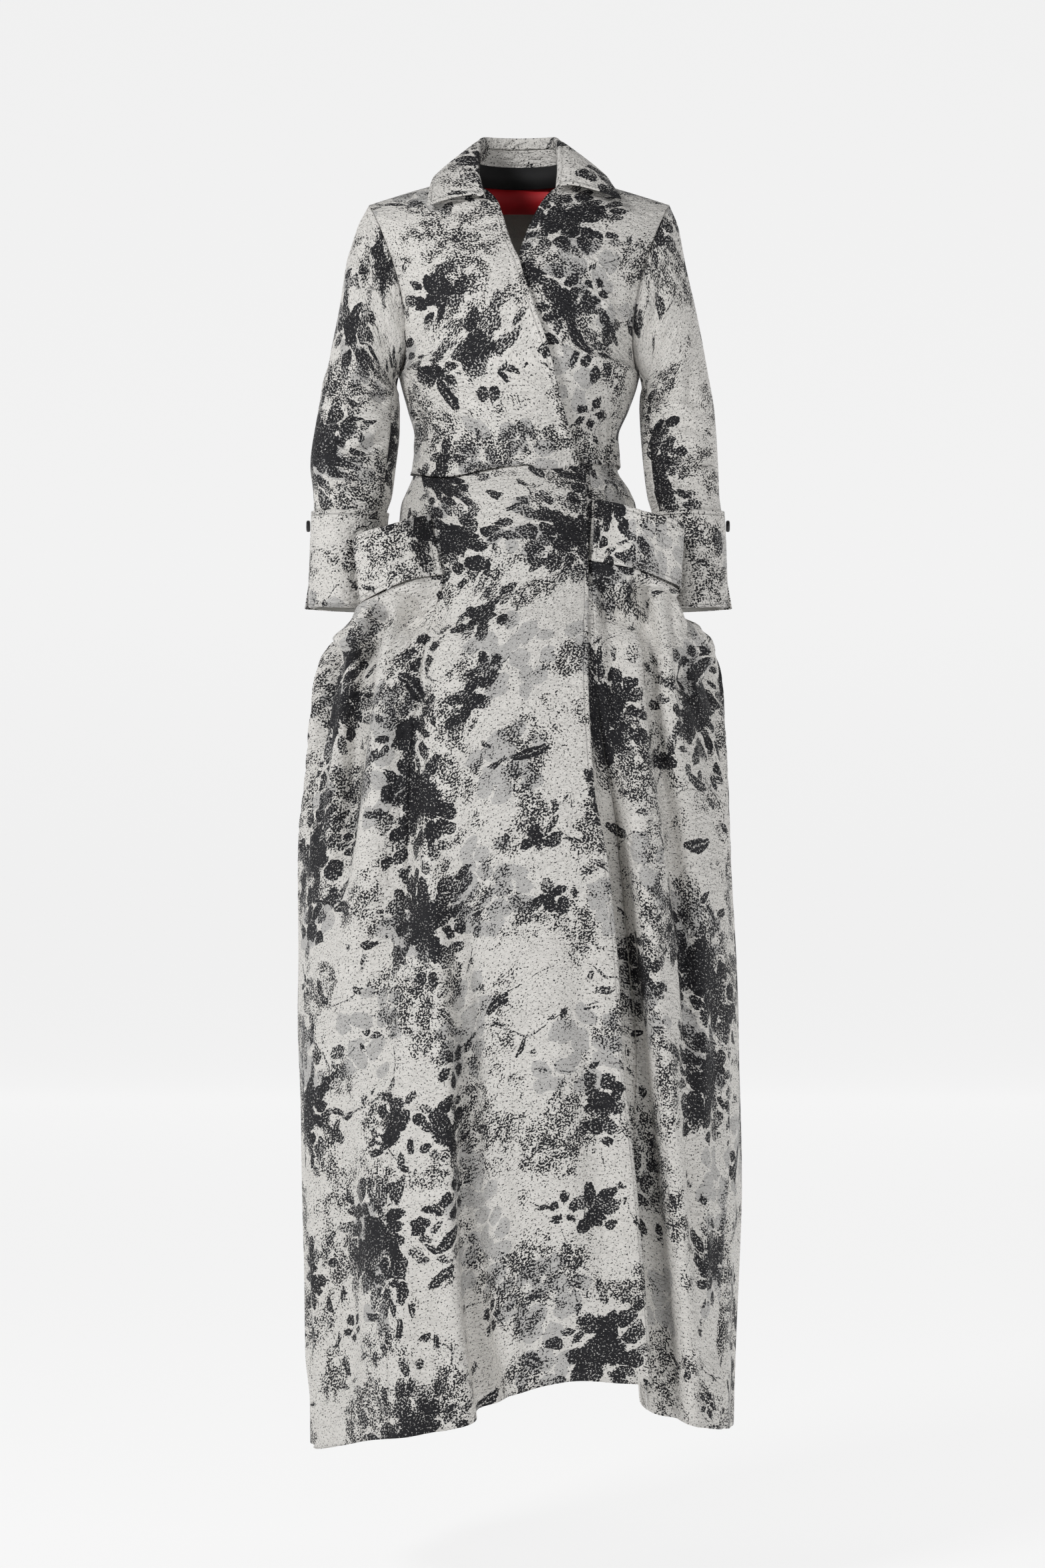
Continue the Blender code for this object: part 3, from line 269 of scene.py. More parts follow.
print("shoulders", 2 * SHOULDER_X, "mm, waist", 2 * WAIST_SIDE_X, "mm")

# %% Bodice tables
FRONT = Table(
    "level height drop half shift depth",
    (0.00, 1160, 0, 136, -1, 112),
    (0.05, 1188, 0, 123, -4, 96),
    (0.12, 1225, 0, 123, -3, 98),
    (0.22, 1260, 0, 133, -1, 107),
    (0.32, 1290, 0, 141, 0, 116),
    (0.44, 1330, 0, 148, 0, 123),
    (0.55, 1370, 0, 153, 0, 123),
    (0.66, 1418, 5, 160, 0, 113),
    (0.76, 1466, 14, 168, 0, 97),
    (0.85, 1508, 26, 175, 0, 76),
    (0.92, 1534, 37, 179, 0, 53),
    (0.97, 1549, 43, 182, 0, 29),
    (1.00, 1556, 46, 183, 0, 2.5),
)
BACK = Table(
    "level height drop half shift depth",
    (0.00, 1160, 0, 136, -1, 106),
    (0.05, 1188, 0, 123, -4, 90),
    (0.12, 1225, 0, 123, -3, 88),
    (0.22, 1260, 0, 133, -1, 93),
    (0.32, 1290, 0, 141, 0, 99),
    (0.44, 1336, 1, 148, 0, 106),
    (0.55, 1390, 6, 155, 0, 110),
    (0.66, 1450, 16, 163, 0, 106),
    (0.76, 1500, 30, 170, 0, 95),
    (0.85, 1534, 41, 176, 0, 77),
    (0.92, 1549, 45, 180, 0, 56),
    (0.97, 1555, 46, 182, 0, 30),
    (1.00, 1556, 46, 183, 0, 2.5),
)
MIDDLE = Table("level y", (0, 0), (0.5, 0), (0.8, 4), (1, SHOULDER_Y))
WAIST = Table(
    "x height",
    (-130, 1183), (-118, 1178), (-84, 1171), (-50, 1176), (-15, 1180),
    (40, 1185), (72, 1189), (100, 1190), (125, 1192),
)
BACK_WAIST = 1189.0
OVER_EDGE = Table(
    "height x",
    (1160, 76), (1189, 69), (1222, 60), (1270, 47), (1322, 34), (1366, 19), (1407, 5),
    (1430, -1), (1440, -6), (1460, -13), (1482, -19), (1503, -26), (1516, -36), (1528, -50),
    (1547, -NECK_X),
)
UNDER_EDGE = Table(
    "height x",
    (1160, -30), (1200, -28), (1300, -22), (1380, -12), (1432, -1), (1446, 3), (1461, 8),
    (1480, 16), (1495, 23), (1515, 36), (1527, 50), (1547, NECK_X),
)
print("bodice levels:", len(FRONT.rows), "front,", len(BACK.rows), "back")

# %% Skirt tables
SKIRT = Table(
    "height half shift front back",
    (-20, 251, 4, 228, 276),
    (60, 252, 4, 230, 276),
    (220, 257, 5, 236, 272),
    (382, 264, 3, 240, 266),
    (544, 268, -1, 240, 258),
    (706, 264, -3, 233, 247),
    (806, 259, -2, 222, 236),
    (868, 253, -1, 212, 226),
    (901, 249, -0.5, 205, 220),
    (933, 243, 0, 196, 213),
    (958, 229, 1, 188, 206),
    (980, 202, 2, 181, 198),
    (993, 172, 1, 176, 191),
    (1004, 156, 0, 172, 184),
    (1055, 149, 0, 158, 166),
    (1100, 147, 0, 142, 143),
    (1144, 142.5, -1, 121, 116),
    (1160, 136, -1, 112, 106),
    (1188, 123, -4, 96, 90),
    (1210, 122, -4, 94, 88),
)
SQUARE = Table("height power", (-20, 2.15), (1060, 2.15), (1150, 2.0), (1300, 2.0))
HEM = Table(
    "angle height",
    (-180, 62), (-140, 48), (-112, 20), (-92, 8), (-75, 11), (-60, 24), (-45, 40),
    (-30, 52), (-19, 62), (-11, 80), (-3, 98), (6, 109), (18, 114), (30, 110), (38, 106),
    (42, 80), (48, 60), (58, 47), (75, 34), (92, 25), (112, 26), (140, 48), (180, 62),
)
print("skirt levels:", len(SKIRT.rows))

# %% [markdown]
# ## The skirt's deep folds
# Full cloth that hangs from a gather falls in uneven folds that fade in and out. Each fold
# here is a table: the angle round the hip, its half width in degrees and its depth, negative
# for a valley. A wave round the skirt would be shorter to write, but evenly spaced folds
# look like a curtain, so they are placed one by one.

# %% Deep folds
FOLD_ROWS = {
    # rows of height, angle, half width and depth
    "left_corner": (
        (915, -64, 20, 0), (945, -64, 20, 6), (965, -63, 18, 22), (980, -62, 16, 42),
        (993, -61, 12, 39), (1004, -61, 9, 33), (1012, -61, 8, 28), (1020, -62, 8, 20),
        (1032, -62, 8, 0),
    ),
    "right_corner": (
        (930, 66, 22, 0), (962, 66, 22, 22), (982, 65, 19, 43), (1000, 63, 13, 71),
        (1030, 60, 8, 54), (1042, 60, 8, 48), (1056, 60, 8, 0),
    ),
    "left_seam": (
        (500, -34, 6, 0), (826, -34, 6, -9), (936, -35, 5, -10), (1050, -33, 4, 0),
    ),
    "left_deep": (
        (560, -55, 7, 0), (706, -54, 6, -11), (868, -53, 4.5, -22), (980, -55, 4, -24),
        (1016, -56, 3, -8),
    ),
    "left_outer": (
        (760, -76, 7, 0), (870, -72, 6, -14), (960, -68, 5, -16), (1012, -65, 4, -4),
    ),
    "left_side": (
        (500, -92, 8, 0), (700, -90, 8, -9), (900, -88, 6, -12), (1000, -86, 4, -3),
    ),
    "left_gather": (
        (880, -45, 5, 0), (960, -46, 4, -9), (1030, -47, 3, -7),
    ),
    "right_long": (
        (400, 53, 8, 0), (540, 50, 6, -15), (706, 47, 5, -20), (884, 43, 4, -16),
        (1040, 45, 3, -8),
    ),
    "right_outer": (
        (780, 68, 6, 0), (880, 64, 5, -12), (960, 61, 4, -15), (1030, 59, 3, -5),
    ),
    "right_side": (
        (450, 93, 8, 0), (680, 90, 8, -10), (880, 86, 6, -12), (1000, 82, 4, -3),
    ),
    "centre_left": (
        (-20, -8, 6, -40), (58, -8.5, 6, -38), (170, -12, 6, -32), (263, -13.5, 6, -26),
        (400, -14, 6, -17), (520, -15, 5, -8), (640, -17, 5, 0),
    ),
    "centre_recess": (
        (-20, 16, 22, -30), (200, 15, 22, -20), (420, 14, 20, -8), (600, 12, 20, 0),
    ),
    "left_front_swell": (
        (-20, -32, 14, 14), (200, -33, 14, 12), (500, -33, 14, 6), (800, -33, 14, 0),
    ),
    "right_front_swell": (
        (-20, 56, 9, 12), (200, 58, 10, 12), (500, 66, 10, 6), (800, 66, 10, 0),
    ),
    "back_middle": (
        (-20, 178, 9, -22), (300, 177, 9, -22), (700, 180, 8, -16), (1000, 181, 7, -6),
        (1120, 180, 6, 0),
    ),
    "back_left": (
        (-20, -138, 10, -20), (300, -140, 9, -20), (700, -146, 8, -15), (980, -150, 7, -7),
        (1100, -152, 6, 0),
    ),
    "back_right": (
        (-20, 142, 10, -21), (300, 143, 9, -18), (700, 148, 8, -14), (980, 152, 7, -8),
        (1100, 153, 6, 0),
    ),
    "back_side_left": (
        (-20, -112, 9, -14), (300, -113, 9, -14), (700, -116, 8, -10), (950, -118, 7, 0),
    ),
    "back_side_right": (
        (-20, 114, 9, -13), (300, 116, 9, -15), (700, 118, 8, -9), (950, 120, 7, 0),
    ),
}
FOLDS = {name: Table("height angle width depth", *rows) for name, rows in FOLD_ROWS.items()}
WRAP_VALLEY = Table(
    "height depth width",
    (-20, -34, 5.0), (100, -34, 5.0), (400, -28, 4.5), (700, -20, 4.0), (900, -9, 4.0),
    (1060, -2, 4.0), (1200, 0, 4.0),
)
WRAP_EDGE = Table(
    "height x",
    (60, 157), (110, 154), (180, 149), (262, 142), (335, 136), (410, 128), (492, 119),
    (575, 115), (715, 102), (806, 86), (940, 80), (1080, 80), (1189, 78), (1210, 78),
)
UNDER_PANEL_EDGE = Table("height x", (60, 30), (500, 12), (1000, 8), (1210, 4))
LEFT_SEAM = Table(
    "height x",
    (40, -150), (260, -152), (500, -146), (826, -131), (936, -118), (1000, -104),
    (1050, -88), (1125, -103), (1180, -118), (1210, -119),
)
RIGHT_SEAM = Table(
    "height x",
    (40, 176), (180, 166), (410, 148), (575, 136), (715, 122), (806, 108), (940, 92),
    (1070, 83), (1140, 87), (1190, 84), (1210, 84),
)
BACK_SEAM_ANGLE = 112.0
print(len(FOLDS), "deep folds")

# %% Pocket bands, sleeves and neck
BANDS = {
    "left": {
        "low": (
            (-88, -146, 1054), (-122, -149, 1048), (-150, -143, 1039), (-174, -128, 1028),
            (-188, -108, 1020), (-178, -90, 1018), (-158, -78, 1018),
        ),
        "high": (
            (-103, -122, 1127), (-132, -136, 1118), (-158, -138, 1110), (-182, -130, 1104),
            (-197, -114, 1096), (-182, -94, 1094), (-160, -80, 1094),
        ),
    },
    "right": {
        "low": (
            (84, -147, 1070), (114, -150, 1064), (142, -144, 1058), (170, -130, 1048),
            (192, -108, 1038), (180, -90, 1034), (158, -78, 1032),
        ),
        "high": (
            (89, -118, 1145), (118, -134, 1137), (146, -138, 1128), (174, -132, 1121),
            (196, -114, 1113), (182, -94, 1112), (158, -80, 1112),
        ),
    },
}
POCKET_FLOOR_RISE = 45.0    # above the lower edge, where the hip panel turns out to it
SLEEVES = {
    "left": Table(
        "along outer outer_height inner inner_height middle deep",
        (0.00, 183, 1510, 146, 1300, 3, 55),
        (0.08, 196, 1484, 149, 1293, 2, 57),
        (0.20, 209, 1438, 149, 1287, 2, 59),
        (0.34, 221, 1371, 147, 1278, 2, 60),
        (0.48, 234, 1306, 145, 1262, 0, 59),
        (0.60, 244, 1257, 145, 1236, -4, 57),
        (0.74, 253, 1192, 150, 1186, -12, 54),
        (0.82, 249, 1156, 154, 1154, -18, 53),
        (0.88, 248, 1128, 162, 1126, -21, 53),
        (1.00, 249, 1018, 168, 1014, -33, 54),
    ),
    "right": Table(
        "along outer outer_height inner inner_height middle deep",
        (0.00, 183, 1510, 146, 1300, 3, 55),
        (0.08, 193, 1484, 149, 1293, 2, 57),
        (0.20, 202, 1438, 149, 1287, 2, 59),
        (0.34, 217, 1371, 147, 1278, 2, 60),
        (0.48, 229, 1306, 146, 1262, 0, 59),
        (0.60, 237, 1257, 147, 1236, -4, 57),
        (0.74, 241, 1192, 151, 1186, -12, 54),
        (0.82, 242, 1156, 155, 1154, -18, 53),
        (0.88, 245, 1128, 162, 1126, -21, 53),
        (1.00, 247, 1018, 169, 1014, -33, 54),
    ),
}
SLEEVE_SEAM_OUTER, SLEEVE_SEAM_INNER = -36.0, 144.0   # angles of the two sleeve seams
TUBE_GAP = 1.0              # at a seam along a sleeve, on its outside
ARMHOLE_GAP = 0.9           # between the sleeve's top edge and the bodice
UNDERARM_GAP = 1.6          # further out at the underarm, where the sleeve hangs beside it
CUFF_START, CUFF_END = 0.868, 1.004                   # along the sleeve
CUFF_LIFT = (3.6, 5.4)                                # off the sleeve, at its top and bottom
VENT_ANGLE, VENT_OPEN, VENT_FLARE = -16.0, 5.5, 12.0
VENT_CLOSED = 0.5                                     # half the slit above it, in degrees
VENT_TOP = 0.45                                       # where it closes, up the cuff
CUFF_SEAT = 2.35                                      # where it turns up from the sleeve's edge
SHOULDER_PART, ARMHOLE_PART = 0.1, 0.42   # how far down the shoulder and armhole shape it
NECK_SEAM = Table(
    "turn x y height",
    (0.00, -43, -60, 1519), (0.14, -58, -32, 1535), (0.26, -64, 2, 1547),
    (0.38, -47, 44, 1550), (0.50, 0, 63, 1549), (0.62, 47, 44, 1550),
    (0.74, 64, 2, 1547), (0.86, 58, -30, 1538), (1.00, 50, -52, 1529),
)
ROLL_LINE = Table(
    "turn x y height",
    (0.00, -44, -75, 1508), (0.14, -52, -46, 1547), (0.26, -50, -6, 1579),
    (0.38, -42, 38, 1595), (0.50, 0, 59, 1597), (0.62, 42, 38, 1595),
    (0.74, 49, -6, 1581), (0.86, 50, -40, 1554), (1.00, 48, -65, 1522),
)
LEAF_EDGE = Table(
    "turn x y height",
    (0.00, -110, -70, 1497), (0.14, -107, -36, 1525), (0.26, -96, 16, 1549),
    (0.38, -66, 66, 1549), (0.50, 0, 86, 1548), (0.62, 66, 66, 1549),
    (0.74, 98, 16, 1549), (0.86, 112, -34, 1527), (1.00, 122, -64, 1506),
)
LEAF_TUCK, LEAF_TUCK_END = 11.0, 2.0      # how far the leaf goes down inside, to the stand
LEAF_TUCK_TURN = 0.2        # its ends rise to the second figure over this much turn
LEAF_ROWS = ((0.72, 3.0), (0.42, 4.5), (0.17, 4.0))       # share of the fall, and its swell
ROLL_ROWS = ((2.4, 0.2), (0.0, 1.8), (-2.2, 0.0))         # out from the roll line, and above it
ROLL_INSIDE = 2.8           # the leaf's inner edge, in from the roll line
STAND_LOW = (1.2, 1.6)      # the stand's lower edge, in from the neck seam and above it
STAND_GAP = 0.5             # below the leaf's inner edge
STAND_TURNS = (0.10, 0.90)
TAPE_TURNS = (0.30, 0.70)
TAPE_INSET = 4.8            # in from the neck seam
LABEL_INSET = 11.0          # off the back, so that it clears the neck seam
LABEL_BEHIND = 2.5          # its middle, behind the tape
TAPE_HEIGHTS = (1537.0, 1564.0)
LABEL_HALF, LABEL_HEIGHTS = 52.0, (1507.0, 1542.0)
print(len(BANDS), "bands,", len(SLEEVES), "sleeves,", len(NECK_SEAM.rows), "places round the neck")

# %% [markdown]
# ## The bodice as a surface
# A torso is close to an ellipse at each level, a little squarer at the shoulders. The
# surface is a function of the level and of the turn round the body, so a panel is any patch
# of it between two edges. That keeps the seams of neighbouring panels on one line.

# %% Torso surface
def torso(table, level, turn):
    """A point of the bodice; turn is -90 to 90 degrees across the front or the back."""
    angle = np.radians(turn)
    half = table.read("half", level)
    x = half * np.sin(angle) + table.read("shift", level)
    way = -1.0 if table is FRONT else 1.0
    flat = 1 - CHEST_FLAT * beyond(level, CHEST_START)
    y = MIDDLE.read("y", level) + way * table.read("depth", level) * np.cos(angle) ** flat
    reach = np.abs(np.sin(angle)) ** SHOULDER_POWER
    return stack(x, y, table.read("height", level) - table.read("drop", level) * reach)


def level_of(table, x, height):
    """The level where the bodice passes a height at a distance x from the middle."""
    def below(level):
        reach = np.clip(np.abs(x) / table.read("half", level), 0, 1) ** SHOULDER_POWER
        return table.read("height", level) - table.read("drop", level) * reach < height

    low = np.zeros(np.broadcast(x, height).shape)
    return halve(low, np.ones_like(low), below)


def turn_of(table, level, x):
    part = (x - table.read("shift", level)) / table.read("half", level)
    return np.degrees(np.arcsin(np.clip(part, -1, 1)))


def armhole(angle, side):
    """The armhole seam: 0 is the shoulder, 90 the front, 180 the underarm."""
    top = np.array((SHOULDER_X, SHOULDER_Y, SHOULDER_HEIGHT))
    low, front, back = (np.array(p) for p in (UNDERARM, ARMHOLE_FRONT, ARMHOLE_BACK))
    a = np.radians(np.asarray(angle, float))[..., None]
    middle = (top + low) / 2
    point = middle + np.cos(a) * (top - low) / 2 + np.sin(a) * (front - back) / 2
    point = point + np.sin(a) ** 2 * ((front + back) / 2 - middle)
    return point * np.array((side, 1, 1))


def push(points, distance):
    """The grid moved out along its own normals."""
    across = np.gradient(points, axis=1)
    up = np.gradient(points, axis=0)
    return points + unit(np.cross(across, up)) * np.asarray(distance)[..., None]


print("front of the armhole:", armhole(90, 1).round(1))

# %% Edges of the bodice
LOW_ROWS, ARM_ROWS = 25, 50             # rows below the underarm, and beside the armhole
LIP_PLACES = (0, 0.3, 1, 2)             # up the bodice's edge, in fifths of its low rows
LIP_SHARES = (1, 0.8, 0.3, 0)           # how much of the lip is left there


def lip(points, where=1.0):
    """The lowest edge of the bodice stood out over the skirt."""
    row = np.arange(points.shape[0]) * 5 / LOW_ROWS
    out = WAIST_LIP * np.interp(row, LIP_PLACES, LIP_SHARES)[:, None]
    return push(points, out * where + np.zeros(points.shape[:2]))


def edge_rows():
    """The rows up a bodice piece: height at its side, and the armhole angle or none."""
    low = np.linspace(0, 1, LOW_ROWS + 1)
    angles = np.linspace(180, 0, ARM_ROWS + 1)
    return low, angles


def side_edge(table, side, sign):
    """The level, turn and place of each row's end at the side seam and armhole."""
    low, angles = edge_rows()
    waist = WAIST.read("height", side * WAIST_SIDE_X)
    heights = lerp(waist, UNDERARM[2], low[:-1])
    ring = armhole(sign * angles, side)
    heights = np.concatenate([heights, ring[:, 2]])
    x = np.concatenate([np.full(LOW_ROWS, side * BEYOND), ring[:, 0]])
    level = level_of(table, np.clip(np.abs(x), 0, SHOULDER_X), heights)
    level[-1] = 1.0
    turn = turn_of(table, level, x)
    turn[:LOW_ROWS + 1] = side * 90.0
    base = torso(table, level, turn)
    rest = np.zeros_like(base)
    rest[LOW_ROWS:] = ring - base[LOW_ROWS:]
    rest[:LOW_ROWS] = rest[LOW_ROWS] * (low[:-1, None] ** 2)
    return level, turn, rest


print("rows up a bodice piece:", LOW_ROWS + ARM_ROWS)

# %% Bodice fronts
WAIST_START = 40.0          # where the first guess of a free edge's foot is read
BODICE_ROUNDS = 4
REST_FADE = 3               # how fast the armhole's own shape fades inwards
EDGE_FADE = 8               # and the gap at a side or shoulder seam


def bodice_front(side, edge, columns, lap):
    """One front, from its free edge to the side; lap is how far it stands off."""
    level, turn, rest = side_edge(FRONT, side, 1)
    count = len(level)
    up = np.linspace(0, 1, count)
    heights = lerp(WAIST.read("height", side * WAIST_START), HOLD_HEIGHT, up)
    x = edge.read("x", heights)
    for _ in range(BODICE_ROUNDS):
        heights[0] = WAIST.read("height", x[0])
        x = edge.read("x", heights)
    inner_level = level_of(FRONT, x, heights)
    inner_level[-1] = 1.0
    x[-1] = side * NECK_X
    inner_turn = turn_of(FRONT, inner_level, x)
    s = np.linspace(0, 1, columns + 1)[None, :]
    levels = lerp(inner_level[:, None], level[:, None], s)
    turns = lerp(inner_turn[:, None], turn[:, None], s)
    bottom = torso(FRONT, levels[0], turns[0])
    hidden = 0 if lap else UNDER_RAISE * (1 - beyond(bottom[:, 0], UNDER_HIDDEN))
    levels[0] = level_of(FRONT, bottom[:, 0], WAIST.read("height", bottom[:, 0]) + hidden)
    points = torso(FRONT, levels, turns) + rest[:, None, :] * (s ** REST_FADE)[..., None]
    points[..., 1] -= SIDE_GAP * (s ** EDGE_FADE) + SHOULDER_GAP * (up ** EDGE_FADE)[:, None]
    if side < 0:
        points = points[:, ::-1, :]
    points = lip(points, 1.0 if lap else beyond(points[..., 0], LIP_START))
    if lap:
        below_neck = ease((LAP_NECK[0] - points[..., 2]) / LAP_NECK[1])
        cover = beyond(points[..., 0], LAP_SIDE) * below_neck
        points = push(points, lap * cover)
    return points


print("the wrap's edge is at x =", OVER_EDGE.read("x", WAIST_GUESS).round(1), "at the waist")

# %% Bodice back
DIP_POWER, DIP_START = 0.8, 4           # how round the back neckline is, and how late it dips


def bodice_back(columns):
    """The back, from the side seam at -X to the one at +X."""
    left_level, left_turn, left_rest = side_edge(BACK, -1, -1)
    right_level, right_turn, right_rest = side_edge(BACK, 1, -1)
    s = np.linspace(0, 1, columns + 1)[None, :]
    even = lerp(left_level[0], 1.0, np.linspace(0, 1, len(left_level)))[:, None]
    spread = 1 - np.abs(2 * s - 1) ** 2
    levels = lerp(lerp(left_level[:, None], right_level[:, None], s), even, spread)
    turns = lerp(left_turn[:, None], right_turn[:, None], s)
    up = np.linspace(0, 1, len(left_level))[:, None]
    neck_turn = math.degrees(math.asin(NECK_X / SHOULDER_X))
    dip = np.cos(np.clip(turns / neck_turn, -1, 1) * math.pi / 2) ** DIP_POWER
    levels = levels - BACK_NECK_DROP * dip * up ** DIP_START
    points = torso(BACK, levels, turns)
    rest = left_rest[:, None, :] * (np.clip(1 - 2 * s, 0, 1) ** REST_FADE)[..., None]
    rest = rest + right_rest[:, None, :] * (np.clip(2 * s - 1, 0, 1) ** REST_FADE)[..., None]
    points = points + rest
    sides = np.abs(2 * s - 1) ** EDGE_FADE
    points[..., 1] += SIDE_GAP * sides + SHOULDER_GAP * up ** EDGE_FADE
    return lip(points[:, ::-1, :])


print("the back is", round(2 * float(BACK.read("half", 0.5))), "mm wide at the bust")

# %% [markdown]
# ## The skirt as a surface
# Each level of the skirt is a rounded square, which sits between an ellipse and a box. The
# folds are added to its radius. The overlapping front has no valley at the wrap edge, the
# panel under it does.

# %% Skirt surface
FRONT_REACH = 88.0          # degrees to either side of the middle that count as the front


def fold_depth(height, angle):
    """How far the skirt's folds move the cloth in or out."""
    total = np.zeros(np.broadcast(height, angle).shape)
    for fold in FOLDS.values():
        off = half_turns(angle - fold.read("angle", height))
        inside = (height >= fold.rows[0, 0]) & (height <= fold.rows[-1, 0])
        size = np.where(inside, fold.read("depth", height), 0)
        total = total + size * np.exp(-(off / fold.read("width", height)) ** 2)
    return total


def skirt(height, angle, lap=False):
    """A point of the skirt at an angle round it; 0 is the front, 90 is +X."""
    height = np.asarray(height, float)
    a = np.radians(angle)
    half = SKIRT.read("half", height)
    depth = np.where(np.cos(a) > 0, SKIRT.read("front", height), SKIRT.read("back", height))
    power = SQUARE.read("power", height)
    reach = (np.abs(np.sin(a)) / half) ** power + (np.abs(np.cos(a)) / depth) ** power
    radius = reach ** (-1 / power) + fold_depth(height, angle)
    if not lap:
        off = half_turns(angle - (wrap_angle(height) + VALLEY_OFF))
        width = WRAP_VALLEY.read("width", height)
        radius = radius + WRAP_VALLEY.read("depth", height) * np.exp(-(off / width) ** 2)
    x = SKIRT.read("shift", height) + radius * np.sin(a)
    return stack(x, -radius * np.cos(a), height)


def angle_at(height, x):
    """The angle at which the front of the skirt passes a distance x from the middle."""
    low = np.full(np.broadcast(height, x).shape, -FRONT_REACH)
    return halve(low, -low, lambda angle: skirt(height, angle, lap=True)[..., 0] < x)


WRAP_STATIONS = np.arange(-20.0, 1215.0, 5.0)
WRAP_ANGLES = angle_at(WRAP_STATIONS, WRAP_EDGE.read("x", WRAP_STATIONS))


def wrap_angle(height):
    """The wrap edge's angle, read from a few stations because the search for it is slow."""
    return np.interp(height, WRAP_STATIONS, WRAP_ANGLES)


print("the wrap's edge is at", wrap_angle(HEM_GUESS).round(1), "degrees at the hem")

# %% Front and back panels of the skirt
LOW_SHARE = 1 - (1 - np.linspace(0, 1, 170)) ** 1.3      # rows from the hem to the pocket
HIGH_SHARE = np.linspace(0, 1, 34)                       # and from there to the waist


def panel_rows(knee):
    """Where a panel's rows lie, with the pocket's own row at the knee."""
    return np.concatenate([LOW_SHARE * knee, (knee + (1 - knee) * HIGH_SHARE)[1:]])[:, None]


def with_gaps(height, angle, s, lap=False, sign=1):
    """The panel's angles, with half a seam's gap taken off at its two sides."""
    radius = np.hypot(*np.moveaxis(skirt(height, angle, lap)[..., :2], -1, 0))
    return angle + sign * np.degrees(SEAM_GAP / 2 / radius) * (1 - 2 * s)


def skirt_panel(left, right, top, columns, pocket, seam, lap=False):
    """A panel between two lines of angles, with one row level with the pocket at its seam."""
    s = np.linspace(0, 1, columns + 1)[None, :]
    v = panel_rows(KNEE_GUESS)
    height = lerp(HEM_GUESS, WAIST_GUESS, v) + 0 * s
    for _ in range(PANEL_ROUNDS):
        angle = lerp(left(height), right(height), s)
        hem = HEM.read("height", half_turns(angle))
        knee = (pocket - hem[0, seam]) / (top(angle)[-1, seam] - hem[0, seam])
        v = panel_rows(knee)
        height = lerp(hem[:1], top(angle)[-1:], v)
    return skirt(height, with_gaps(height, angle, s, lap), lap)


def waist_top(angle):
    """The top edge of the skirt, tucked up behind the bodice's edge."""
    x = WAIST_HALF * np.sin(np.radians(angle))
    front = WAIST.read("height", x)
    return np.where(np.abs(angle) < 90, front, BACK_WAIST) + WAIST_TUCK


print("rows up a skirt panel:", len(panel_rows(KNEE_GUESS)))

# %% [markdown]
# ## Pocket bands, hip panels and full sides
# On the real dress a stiff band stands out over each pocket. The full side is gathered to
# the band's lower edge, and a close hip panel lies inside, behind the opening. The band could
# be a box bent in place, but its two edges are what a maker draws, so it is lofted between
# two paths in plan. The side and the hip panel then start from the lower one.

# %% Path of a band
BAND_EASE = 4.0             # its inner end comes onto the skirt over a quarter of the path
BAND_STEP = 0.01            # of the path, to see which way it runs
BAND_SEAT = {"left": 4.0, "right": 2.3}         # a band's outer face above the panel under it


def along(path, t):
    """A smooth line through a few points, by its length."""
    path = np.array(path, float)
    steps = np.linalg.norm(np.diff(path, axis=0), axis=1)
    keys = np.concatenate([[0], np.cumsum(steps)])
    keys = keys / keys[-1]
    table = Table("key x y z", *(tuple([k, *p]) for k, p in zip(keys, path)))
    return stack(table.read("x", t), table.read("y", t), table.read("z", t))


def seated(side, edge, t):
    """The band's path, with its inner end brought onto the skirt."""
    path = along(BANDS[side][edge], t)
    start = np.array(BANDS[side][edge][0], float)
    surface = skirt(start[2], angle_at(start[2], start[0]), lap=True)
    move = surface + level_part(surface) * BAND_SEAT[side] - start
    return path + move * (1 - ease(t * BAND_EASE))[..., None]


def band_line(side, edge, t, off=0.0):
    """The band's edge in plan, moved out by off."""
    t = np.asarray(t, float)
    here = seated(side, edge, t)
    ahead = seated(side, edge, np.clip(t + BAND_STEP, 0, 1))
    behind = seated(side, edge, np.clip(t - BAND_STEP, 0, 1))
    way = ahead - behind
    normal = unit(stack(way[..., 1], -way[..., 0], np.zeros_like(t)))
    return here + SIGN[side] * normal * off


for side in BANDS:
    print(f"{side} band:", np.ptp(band_line(side, "low", np.linspace(0, 1, 9)), axis=0).round(1))

# %% Top edge of a full side
BAND_SHARE = 12 / 18        # of the side's top edge that hangs from the band
SIDE_COLUMNS = 66
SIDE_INSET = 4.0            # the full side hangs this far inside the band's lower edge
FOOT_EASE = 9.0             # its front end comes to the seam over a ninth of the edge
HIP_FALL, HIP_MEET = 2, 3   # how fast the edge drops behind the band, and joins the hip
POCKET_TOP = {"left": 1052.4, "right": 1070.6}  # the row level with the band's lower edge
HIP_FOOT = 1008.0           # where the full side starts, behind the band


def angle_of(points):
    middle = SKIRT.read("shift", points[..., 2])
    return np.degrees(np.arctan2(points[..., 0] - middle, -points[..., 1]))


def seam_angle(side, height):
    seam = LEFT_SEAM if side == "left" else RIGHT_SEAM
    return angle_at(height, seam.read("x", height))


